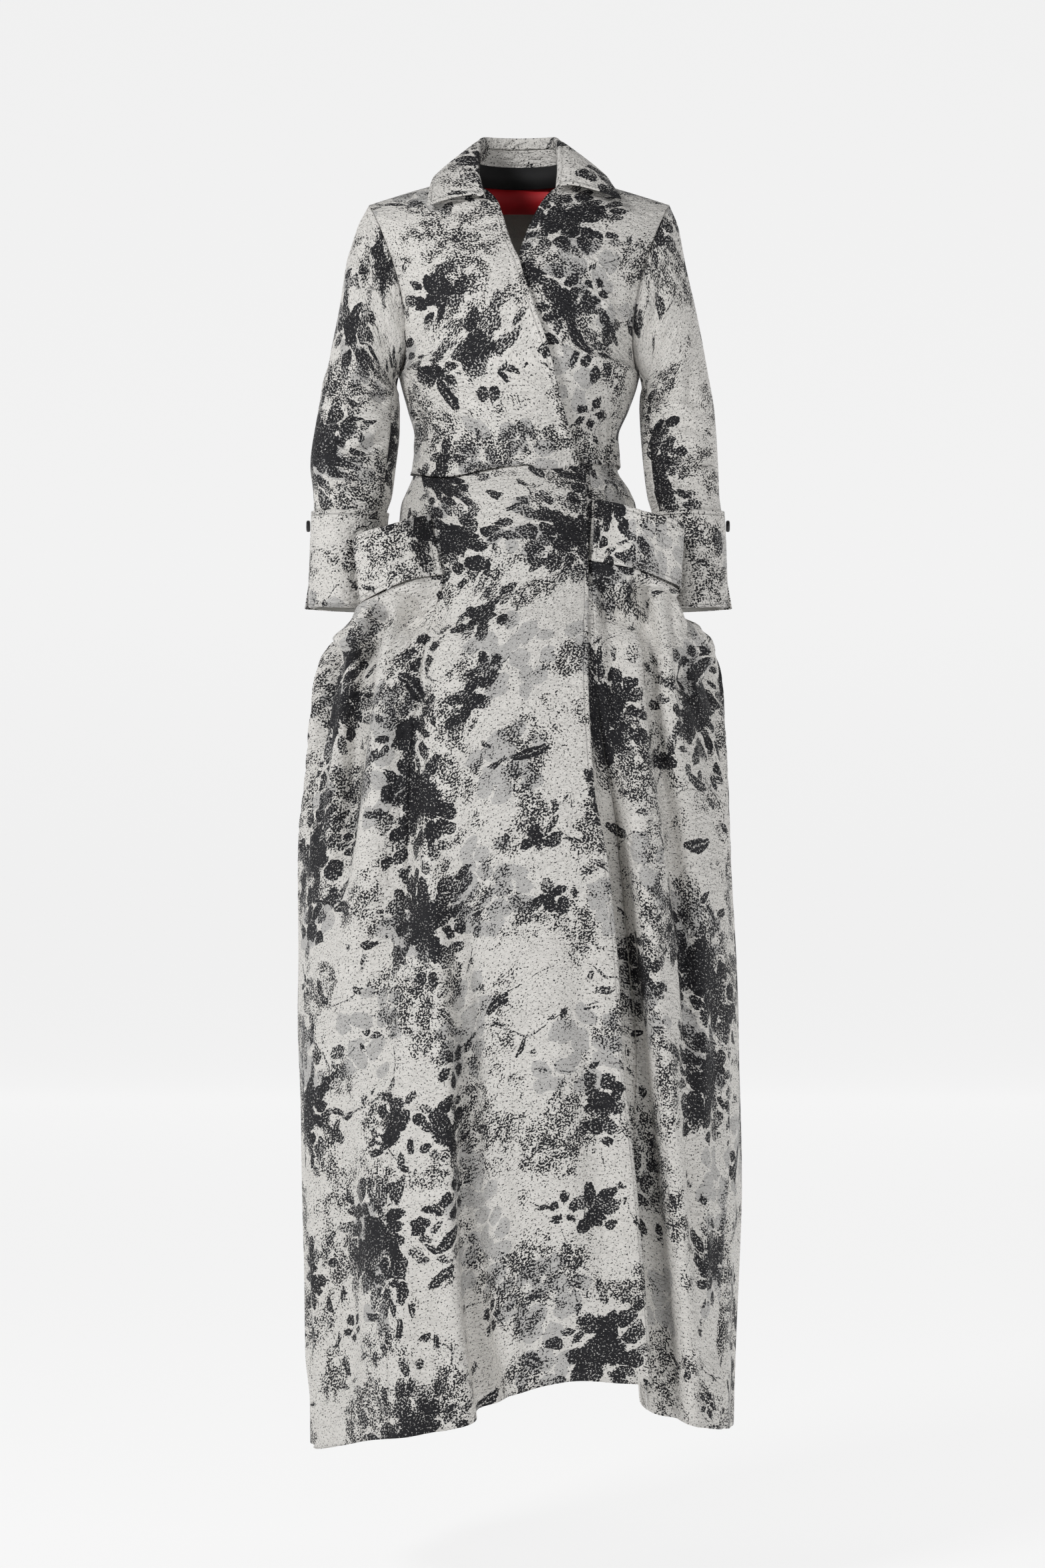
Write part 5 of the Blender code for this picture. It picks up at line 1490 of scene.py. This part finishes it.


# %% [markdown]
# ## Folds placed one by one
# A fold is a line of points as it is seen from one side, with its half width and depth in
# millimetres and the shares of its length over which its two ends fade. A trough has a lower
# ridge along one flank, because pushed cloth piles up beside it. The same line is pressed
# into every panel that it crosses, so a fold runs on over a seam.

# %% Pressing folds into a panel
RIDGE = 0.5                 # the ridge beside a trough, as a share of its depth
RIDGE_OFF = 1.9             # how far beside it, in half widths
TURN_AWAY = 45.0            # how softly a fold ends where the panel turns away, in millimetres
SEEN = {"front": (1, -1), "back": (1, 1), "left": (0, -1), "right": (0, 1)}    # axis, sign
LOOK_BESIDE = 1.5           # degrees to either side, to see which way the skirt runs
TINY = 1e-6                 # keeps a fade over no length from dividing by zero


def beside(flat, line):
    """Signed distance from a line of points, and the share of its length at the nearest one."""
    line = np.array(line, float)
    steps = np.diff(line, axis=0)
    sizes = np.hypot(*steps.T)
    before = np.concatenate([[0], np.cumsum(sizes)])
    best = np.full(flat.shape[:-1], np.inf)
    away, part = np.zeros_like(best), np.zeros_like(best)
    for k, (step, size) in enumerate(zip(steps, sizes)):
        off = flat - line[k]
        t = np.clip((off @ step) / size ** 2, 0, 1)
        gap = off - t[..., None] * step
        distance = np.hypot(gap[..., 0], gap[..., 1])
        signed = np.where(off[..., 0] * step[1] - off[..., 1] * step[0] > 0, distance, -distance)
        nearer = distance < best
        best = np.where(nearer, distance, best)
        away = np.where(nearer, signed, away)
        part = np.where(nearer, (before[k] + t * size) / before[-1], part)
    return away, part


def crease(points, folds, seen="front", out=None):
    """Press folds into a panel; they are drawn as seen from the front, back, left or right."""
    axis, sign = SEEN[seen]
    axes = (1 - axis, 2)
    facing = sign * points[..., axis]
    total = np.zeros(points.shape[:2])
    for line, width, depth, ends in folds:
        away, part = beside(points[..., axes], line)
        fade = ease((part + TINY) / (ends[0] + TINY)) * ease((1 - part + TINY) / (ends[1] + TINY))
        trough = np.exp(-(away / width) ** 2)
        ridge = np.exp(-((away - RIDGE_OFF * width) / width) ** 2)
        total += depth * fade * (trough - RIDGE * ridge)
    total = total * ease(facing / TURN_AWAY + 0.5)
    return push(points, total) if out is None else points + out * total[..., None]


def both_ways(points, front, back):
    """Folds drawn from the front and from behind, so that they run on over the side seams."""
    return crease(crease(points, front), back, "back")


def skirt_folds(points, *sides):
    """Folds seen from several sides; two panels are pushed the same way at their seam."""
    angle, height = angle_of(points), points[..., 2]
    way = skirt(height, angle + LOOK_BESIDE) - skirt(height, angle - LOOK_BESIDE)
    out = unit(stack(way[..., 1], -way[..., 0], 0 * height))
    for folds, seen in sides:
        points = crease(points, folds, seen, out)
    return points


print("a fold's ridge stands", RIDGE, "of its depth high")

# %% Flat sizes and finer grids
def cut_size(points):
    """The width, length and area of the flat piece that the panel was cut as, in metres."""
    across, up = cloth_measure(points)
    width = (across.max(axis=1) - across.min(axis=1)).max() * MM
    length = np.linalg.norm(np.diff(points, axis=0), axis=-1).sum(axis=0).max() * MM
    a = points[1:, 1:] - points[:-1, :-1]
    b = points[1:, :-1] - points[:-1, 1:]
    area = np.linalg.norm(np.cross(a, b), axis=-1).sum() / 2 * MM * MM
    return width, length, min(area, width * length)


def finer(points, rows, columns):
    """The same panel on a finer grid, curved smoothly through its points."""
    for axis, times in ((0, rows), (1, columns)):
        points = np.moveaxis(points, axis, 0)
        padded = np.concatenate([[2 * points[0] - points[1]], points, [2 * points[-1] - points[-2]]])
        at = np.arange((len(points) - 1) * times + 1) / times
        k = np.minimum(at.astype(int), len(points) - 2)
        t = (at - k)[:, None, None]
        a, b, c, d = (padded[k + i] for i in range(4))
        points = b + t * (c - a + t * (2 * a - 5 * b + 4 * c - d + t * (3 * (b - c) + d - a))) / 2
        points = np.moveaxis(points, 0, axis)
    return points


print("the label is cut", *(round(size * 1000) for size in cut_size(label_patch())[:2]), "mm")

# %% The panel itself
dress = bpy.data.collections.new("maxi_dress")
bpy.context.scene.collection.children.link(dress)


def sew(node, points, outer=print_cloth, inner=back_cloth,
        cut_at=(0.0, 0.0, 0.0), start=None, stitched=()):
    """One cloth panel for a node of the CAD model, cut at a place and turn on the cloth."""
    width, length, area = cut_size(points)
    u, v = cloth_measure(points, start)
    edge = edge_measure(points, stitched)
    rows, columns = points.shape[0] - 1, points.shape[1] - 1
    bm = bmesh.new()
    bmesh.ops.create_grid(bm, x_segments=columns, y_segments=rows, size=1.0)
    layer = bm.loops.layers.uv.new("cloth")
    edge_layer = bm.loops.layers.uv.new("edge")
    shift_u, shift_v, turn = cut_at
    ct, st = math.cos(turn), math.sin(turn)
    where = {}
    for vert in bm.verts:
        i = round((vert.co.x + 1) / 2 * columns)
        j = round((vert.co.y + 1) / 2 * rows)
        x, y, z = points[j, i]
        vert.co = (x * MM, y * MM, (z - HOLD_HEIGHT) * MM)
        a, b = u[j, i] * MM, v[j, i] * MM
        where[vert] = ((a * ct - b * st + shift_u, a * st + b * ct + shift_v), (edge[j, i] * MM, 0.0))
    for face in bm.faces:
        for loop in face.loops:
            loop[layer].uv, loop[edge_layer].uv = where[loop.vert]
    mesh = bpy.data.meshes.new(node)
    bm.to_mesh(mesh)
    bm.free()
    mesh.shade_smooth()
    mesh.materials.append(outer)
    mesh.materials.append(inner)
    obj = bpy.data.objects.new("cloth_" + node, mesh)
    dress.objects.link(obj)
    shell = obj.modifiers.new("wall", "SOLIDIFY")
    shell.thickness = CLOTH * MM
    shell.offset = -1.0
    shell.material_offset = 1
    shell.material_offset_rim = 0
    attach(obj, "root")
    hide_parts(node)
    print(f"{node}: {width * 1000:.0f} x {length * 1000:.0f} mm, {columns * rows} faces")
    return obj

# %% [markdown]
# ## Folds of this dress
# The lines below were read off the garment at its front: x is the distance from the middle
# and the second figure the height, both in millimetres. The back and the sides have folds
# of the same kinds, placed as unevenly.

# %% Folds of the skirt's front
SKIRT_FOLDS = (
    # line of x and height, half width, depth, share over which each end fades
    (((-150, 1039), (-161, 1008), (-178, 968), (-192, 900), (-198, 815), (-201, 735), (-209, 640)),
     10, -17, (0.16, 0.45)),
    (((-185, 1000), (-209, 945), (-223, 860), (-230, 760)), 10, -8, (0.3, 0.55)),
    (((-132, 1030), (-133, 974), (-146, 935), (-152, 880)), 8, -10, (0.05, 0.6)),
    (((-112, 1040), (-122, 950), (-137, 828), (-145, 700)), 15, -10, (0.15, 0.5)),
    (((-127, 880), (-133, 770), (-152, 656), (-169, 577), (-164, 419), (-160, 300)),
     20, -14, (0.3, 0.4)),
    (((-215, 640), (-210, 480), (-205, 300), (-207, 60)), 18, -12, (0.4, 0.1)),
    (((-90, 860), (-84, 740), (-70, 620), (-61, 486), (-57, 263), (-49, 170), (-32, 60)),
     13, -17, (0.4, 0.0)),
    (((-118, 330), (-112, 200), (-104, 60)), 16, -9, (0.5, 0.0)),
    (((-20, 560), (-6, 400), (4, 240), (14, 110)), 22, -9, (0.5, 0.1)),
    (((60, 700), (78, 520), (96, 330), (110, 160)), 20, -8, (0.4, 0.3)),
    (((140, 1059), (148, 1013), (157, 945), (159, 884), (166, 829), (177, 772), (184, 703),
      (194, 631), (201, 539), (203, 400)), 10, -19, (0.04, 0.35)),
    (((204, 1000), (214, 970), (222, 910), (226, 820)), 9, -7, (0.3, 0.6)),
    (((103, 1052), (110, 960), (117, 868), (128, 760)), 10, -11, (0.06, 0.5)),
    (((172, 1045), (184, 990), (196, 900), (204, 800)), 7, -9, (0.06, 0.6)),
    (((228, 640), (240, 500), (243, 330), (238, 90)), 15, -12, (0.3, 0.1)),
    (((198, 480), (206, 330), (210, 190), (214, 60)), 14, -12, (0.4, 0.0)),
    (((182, 60), (157, 300), (139, 480), (131, 545), (106, 800), (88, 985)), 14, -28, (0.0, 0.35)),
)
OVER_FOLDS, UNDER_FOLDS = SKIRT_FOLDS[:10], SKIRT_FOLDS[8:]     # those near each front panel
print(len(SKIRT_FOLDS), "front folds")

# %% Folds of the skirt's back and sides
BACK_FOLDS = (
    (((-14, 1165), (-20, 1060), (-30, 900), (-34, 700)), 12, -12, (0.05, 0.6)),
    (((24, 1160), (36, 1020), (52, 860), (60, 640), (58, 420)), 14, -14, (0.08, 0.5)),
    (((-52, 1165), (-74, 1040), (-96, 880), (-108, 640), (-104, 300)), 16, -15, (0.06, 0.4)),
    (((66, 1165), (88, 1080), (112, 960), (130, 800)), 11, -12, (0.06, 0.6)),
    (((92, 1150), (126, 1040), (160, 880), (176, 620), (178, 300)), 16, -16, (0.10, 0.3)),
    (((-92, 1150), (-120, 1060), (-146, 960), (-158, 820)), 10, -12, (0.08, 0.6)),
    (((-140, 900), (-160, 700), (-170, 460), (-164, 120)), 18, -14, (0.4, 0.1)),
    (((-30, 620), (-44, 420), (-40, 60)), 20, -14, (0.5, 0.0)),
    (((104, 560), (96, 340), (104, 50)), 20, -15, (0.5, 0.0)),
    (((8, 820), (14, 620), (22, 400), (12, 90)), 15, -10, (0.4, 0.2)),
)
SIDE_FOLDS = {
    # seen from the side: y instead of x, with -Y to the front
    "left": (
        (((-66, 1010), (-74, 930), (-80, 800), (-78, 660)), 10, -15, (0.05, 0.5)),
        (((-20, 1004), (-26, 900), (-18, 760), (-24, 560)), 12, -15, (0.05, 0.5)),
        (((28, 1000), (34, 880), (24, 700)), 9, -12, (0.06, 0.6)),
        (((64, 1000), (74, 860), (82, 640), (76, 330)), 14, -14, (0.06, 0.4)),
        (((-50, 520), (-60, 330), (-54, 40)), 17, -13, (0.5, 0.0)),
        (((20, 460), (30, 260), (18, 30)), 18, -13, (0.5, 0.0)),
    ),
    "right": (
        (((-60, 1028), (-70, 940), (-66, 820), (-74, 640)), 11, -15, (0.05, 0.5)),
        (((-12, 1012), (-22, 880), (-30, 740)), 9, -13, (0.05, 0.6)),
        (((30, 1004), (24, 900), (34, 720), (28, 480)), 13, -15, (0.05, 0.5)),
        (((70, 1000), (80, 880), (72, 700)), 9, -11, (0.06, 0.6)),
        (((-84, 560), (-76, 340), (-84, 40)), 18, -13, (0.5, 0.0)),
        (((48, 500), (40, 300), (52, 40)), 18, -14, (0.5, 0.0)),
    ),
}
print(len(BACK_FOLDS), "back folds,", sum(len(folds) for folds in SIDE_FOLDS.values()), "at the sides")

# %% Folds of the bodice
BODICE_FOLDS = (
    (((98, 1194), (100, 1222), (98, 1252)), 2.6, -2.6, (0.0, 0.6)),
    (((106, 1194), (110, 1230), (112, 1266)), 3.0, -3.0, (0.0, 0.6)),
    (((114, 1195), (119, 1225), (123, 1254)), 2.4, -2.4, (0.0, 0.6)),
    (((83.5, 1193), (84, 1215), (86, 1246)), 1.8, -2.0, (0.0, 0.3)),
    (((-126, 1266), (-119, 1236), (-118, 1205)), 5, -3.5, (0.4, 0.2)),
    (((-112, 1400), (-121, 1360), (-124, 1322)), 7, -3.0, (0.3, 0.4)),
    (((112, 1404), (122, 1366), (124, 1326)), 7, -3.4, (0.3, 0.4)),
    (((-96, 1300), (-70, 1268), (-30, 1248)), 9, -2.2, (0.4, 0.4)),
    (((-60, 1200), (-20, 1214), (30, 1216)), 7, -1.8, (0.4, 0.4)),
    (((118, 1300), (92, 1276), (66, 1262)), 8, -2.4, (0.3, 0.5)),
    (((-92, 1478), (-100, 1440), (-96, 1408)), 12, -2.2, (0.4, 0.4)),
)
BODICE_BACK_FOLDS = (
    (((-96, 1420), (-112, 1370), (-120, 1320)), 9, -4.0, (0.3, 0.4)),
    (((98, 1430), (116, 1378), (122, 1328)), 9, -4.2, (0.3, 0.4)),
    (((-40, 1192), (-44, 1230), (-52, 1272)), 4, -3.4, (0.0, 0.6)),
    (((38, 1192), (44, 1236), (50, 1286)), 4, -3.4, (0.0, 0.6)),
    (((-90, 1232), (-50, 1222), (-6, 1228)), 8, -2.6, (0.4, 0.4)),
    (((84, 1248), (48, 1236), (10, 1240)), 8, -2.8, (0.4, 0.4)),
    (((0, 1500), (2, 1400), (0, 1300)), 10, -2.6, (0.4, 0.4)),
)
EDGE_STEPS = range(1460, 1190, -15)     # heights down the wrap's edge
EDGE_LINE = tuple((OVER_EDGE.read("x", height), height) for height in EDGE_STEPS)
EDGE_SWELL = (EDGE_LINE, 6.0, 3.2, (0.25, 0.0))         # the wrap's edge stands up a little
EDGE_SHADE = 4.5            # how far beside it the front below dips
EDGE_DIP = (tuple((x + EDGE_SHADE, height) for x, height in EDGE_LINE), 5.0, -3.6, (0.1, 0.1))
print(len(BODICE_FOLDS), "front folds,", len(BODICE_BACK_FOLDS), "back folds")

# %% Folds of the sleeves, cuffs and bands
SLEEVE_FOLDS = {
    "left": (
        (((-241, 1240), (-207, 1252), (-174, 1238)), 6, -6.7, (0.2, 0.4)),
        (((-246, 1206), (-213, 1213), (-184, 1196)), 5, -6.1, (0.2, 0.4)),
        (((-243, 1163), (-207, 1172), (-170, 1158)), 5, -5.2, (0.3, 0.4)),
        (((-160, 1226), (-186, 1208), (-220, 1186)), 5, -5.8, (0.1, 0.6)),
        (((-158, 1262), (-180, 1284), (-214, 1296)), 7, -6.4, (0.1, 0.6)),
        (((-152, 1322), (-172, 1366), (-186, 1412)), 8, -6.4, (0.1, 0.6)),
        (((-228, 1330), (-214, 1270), (-226, 1220)), 8, -4.9, (0.4, 0.4)),
        (((-190, 1470), (-184, 1420), (-172, 1380)), 9, -4.3, (0.4, 0.5)),
    ),
    "right": (
        (((150, 1262), (189, 1274), (228, 1256)), 6, -6.4, (0.1, 0.5)),
        (((152, 1224), (190, 1238), (232, 1226)), 5, -6.1, (0.1, 0.4)),
        (((240, 1196), (206, 1186), (168, 1194)), 5, -6.4, (0.2, 0.4)),
        (((158, 1166), (196, 1158), (236, 1168)), 4, -4.9, (0.2, 0.4)),
        (((152, 1318), (176, 1344), (206, 1356)), 8, -6.1, (0.1, 0.6)),
        (((152, 1330), (168, 1390), (180, 1440)), 7, -5.8, (0.1, 0.6)),
        (((214, 1330), (204, 1290), (216, 1240)), 7, -4.3, (0.4, 0.4)),
    ),
}
CUFF_FOLDS = {
    "left": ((((-232, 1120), (-226, 1080), (-234, 1020)), 9, -2.0, (0.3, 0.1)),
             (((-188, 1110), (-194, 1060), (-190, 1016)), 11, -2.2, (0.2, 0.1))),
    "right": ((((228, 1116), (222, 1070), (230, 1018)), 10, -2.0, (0.3, 0.1)),
              (((182, 1116), (190, 1070), (186, 1016)), 9, -2.0, (0.2, 0.1))),
}
BAND_FOLDS = (
    (((-128, 1108), (-136, 1080), (-132, 1052)), 12, -1.8, (0.3, 0.3)),
    (((-168, 1098), (-172, 1064), (-168, 1030)), 14, -2.4, (0.3, 0.2)),
    (((120, 1128), (124, 1100), (118, 1068)), 12, -2.0, (0.3, 0.3)),
    (((160, 1116), (168, 1086), (162, 1056)), 13, -2.2, (0.3, 0.2)),
)
print(sum(len(folds) for folds in SLEEVE_FOLDS.values()), "sleeve folds")

# %% [markdown]
# ## Bodice
# The wearer's right front laps over the left one, and both are sewn to the skirt at the
# waist. The pieces could be draped by a simulation, but the photograph says where each fold
# falls, so the folds drawn above are pressed in. The wrap's edge swells a little and the
# front below dips beside it, so that the edge throws a thin shadow.

# %% Sew the bodice
over_front = both_ways(bodice_front(-1, OVER_EDGE, 60, LAP_LIFT),
                       (*BODICE_FOLDS, EDGE_SWELL), BODICE_BACK_FOLDS)
under_front = both_ways(bodice_front(1, UNDER_EDGE, 60, 0),
                        (*BODICE_FOLDS, EDGE_DIP), BODICE_BACK_FOLDS)
whole_back = both_ways(bodice_back(96), BODICE_FOLDS, BODICE_BACK_FOLDS)
sew("bodice_front_over", over_front,
    cut_at=(0.20, 0.10, 0), stitched=("right",))
sew("bodice_front_under", under_front, cut_at=(1.30, 0.05, 0))
sew("bodice_back", whole_back, cut_at=(2.40, 0.00, 0))

# %% [markdown]
# ## Collar, tape and label, sewn
# The collar shows its right side on both faces, because it is sewn double. Its leaf and stand
# are laid on coarse lines round the neck, so a finer grid is curved through them first.

# %% Sew the collar, tape and label
sew("collar_leaf", finer(collar_leaf(), 6, 5), inner=print_cloth,
    cut_at=(3.0, 1.0, 0), stitched=("low", "left", "right"))
sew("collar_stand", finer(collar_stand(), 5, 5),
    inner=print_cloth, cut_at=(3.3, 1.5, 0))
sew("neck_tape", neck_tape(), outer=tape_cloth, inner=tape_cloth)
sew("neck_label", label_patch(), outer=label_cloth, inner=label_cloth)

# %% [markdown]
# ## Sleeves and cuffs, sewn
# A sleeve is cut a little off the straight grain, so its print leans, to the other side on
# the other sleeve. A cuff is double cloth that is stitched all round its edge.

# %% Sew the sleeves and cuffs
LEAN = 0.06                 # how far a sleeve's cloth is turned, in radians
BESIDE = 0.48               # how far from the middle of the print the two are cut, in metres
ALL_ROUND = ("low", "high", "left", "right")
for side in ("left", "right"):
    lean, beside_middle = -SIGN[side] * LEAN, -SIGN[side] * BESIDE
    folds = SLEEVE_FOLDS[side]
    front_half = sleeve(side, SLEEVE_SEAM_OUTER, SLEEVE_SEAM_INNER)
    back_half = sleeve(side, SLEEVE_SEAM_INNER, SLEEVE_SEAM_OUTER + 360)
    sew(f"sleeve_front_{side}", both_ways(front_half, folds, folds),
        cut_at=(4.06 + beside_middle, 0.38, lean))
    sew(f"sleeve_back_{side}", both_ways(back_half, folds, folds),
        cut_at=(5.0 + beside_middle, 0.7, lean))
    sew(f"cuff_{side}", crease(cuff(side), CUFF_FOLDS[side]),
        inner=print_cloth, cut_at=(6.0 + beside_middle, 0.2, lean), stitched=ALL_ROUND)

# %% [markdown]
# ## Skirt
# Six panels make the skirt: two fronts that overlap, two full sides and two backs. The hip
# panels lie inside the pockets and the bands before them. The front's print runs on over
# both side seams, so a full side is cut at the same place on the cloth as the front next to
# it, and both are measured from their seam.

# %% Sew the skirt's fronts
def at_seam(side):
    """The seam between front and side, as an angle for each height."""
    return lambda height: seam_angle(side, height)


def under_edge(height):
    """The inner edge of the front below, hidden behind the wrap."""
    return angle_at(height, UNDER_PANEL_EDGE.read("x", height))


over = skirt_panel(at_seam("left"), wrap_angle, waist_top, 100, POCKET_TOP["left"], 0, lap=True)
over = push(over, LAP_LIFT * beyond(over[..., 0], SKIRT_LAP))
over = skirt_folds(over, (OVER_FOLDS, "front"), (SIDE_FOLDS["left"], "left"))
sew("skirt_front_over", over,
    cut_at=(7.0, 0.0, 0), start=0, stitched=("right",))
under = skirt_panel(under_edge, at_seam("right"), waist_top, 48, POCKET_TOP["right"], -1)
under = skirt_folds(under, (UNDER_FOLDS, "front"), (SIDE_FOLDS["right"], "right"))
sew("skirt_front_under", under, cut_at=(8.0, 0.0, 0), start=-1)

# %% Sew the skirt's backs
def straight(turns):
    """A straight edge down the back, as an angle for each height."""
    return lambda height: turns + 0 * height


BACKS = (
    # side, where it starts and ends in degrees, and which of the two is the side seam
    ("right", BACK_SEAM_ANGLE, 180.0, 0),
    ("left", 180.0, 360 - BACK_SEAM_ANGLE, -1),
)
back_top = straight(waist_top(180.0))
for side, start, end, seam in BACKS:
    half_back = skirt_panel(straight(start), straight(end), back_top, 84, HIP_FOOT, seam)
    half_back = skirt_folds(half_back, (BACK_FOLDS, "back"), (SIDE_FOLDS[side], side))
    sew(f"skirt_back_{side}", half_back,
        cut_at=(9.0, 0, 0), start=-1 - seam)

# %% Sew the full sides, hip panels and bands
SIDE_CUTS = {
    # where the side, the hip panel and the band are cut, and the side's column at the front
    "left": (7.0, 13.0, 15.0, -1),
    "right": (8.0, 12.0, 14.0, 0),
}
for side, (cut, hip_cut, band_cut, front_column) in SIDE_CUTS.items():
    full_side = skirt_folds(side_panel(side), (SKIRT_FOLDS, "front"), (BACK_FOLDS, "back"),
                            (SIDE_FOLDS[side], side))
    sew(f"skirt_side_{side}", full_side,
        cut_at=(cut, 0, 0), start=front_column)
    sew(f"hip_panel_{side}", hip_panel(side),
        cut_at=(hip_cut, 0, 0))
    sew(f"pocket_band_{side}", crease(pocket_band(side), BAND_FOLDS),
        inner=print_cloth, cut_at=(band_cut, 0, 0), stitched=ALL_ROUND)

# %% [markdown]
# ## Buttons
# The buttons keep their CAD solids, which already have the right dome and place, and get a
# dark polished finish.

# %% Button finish
for side in ("left", "right"):
    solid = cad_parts[f"button_{side}"]
    solid.data.materials.clear()
    solid.data.materials.append(button_horn)
print("buttons finished")
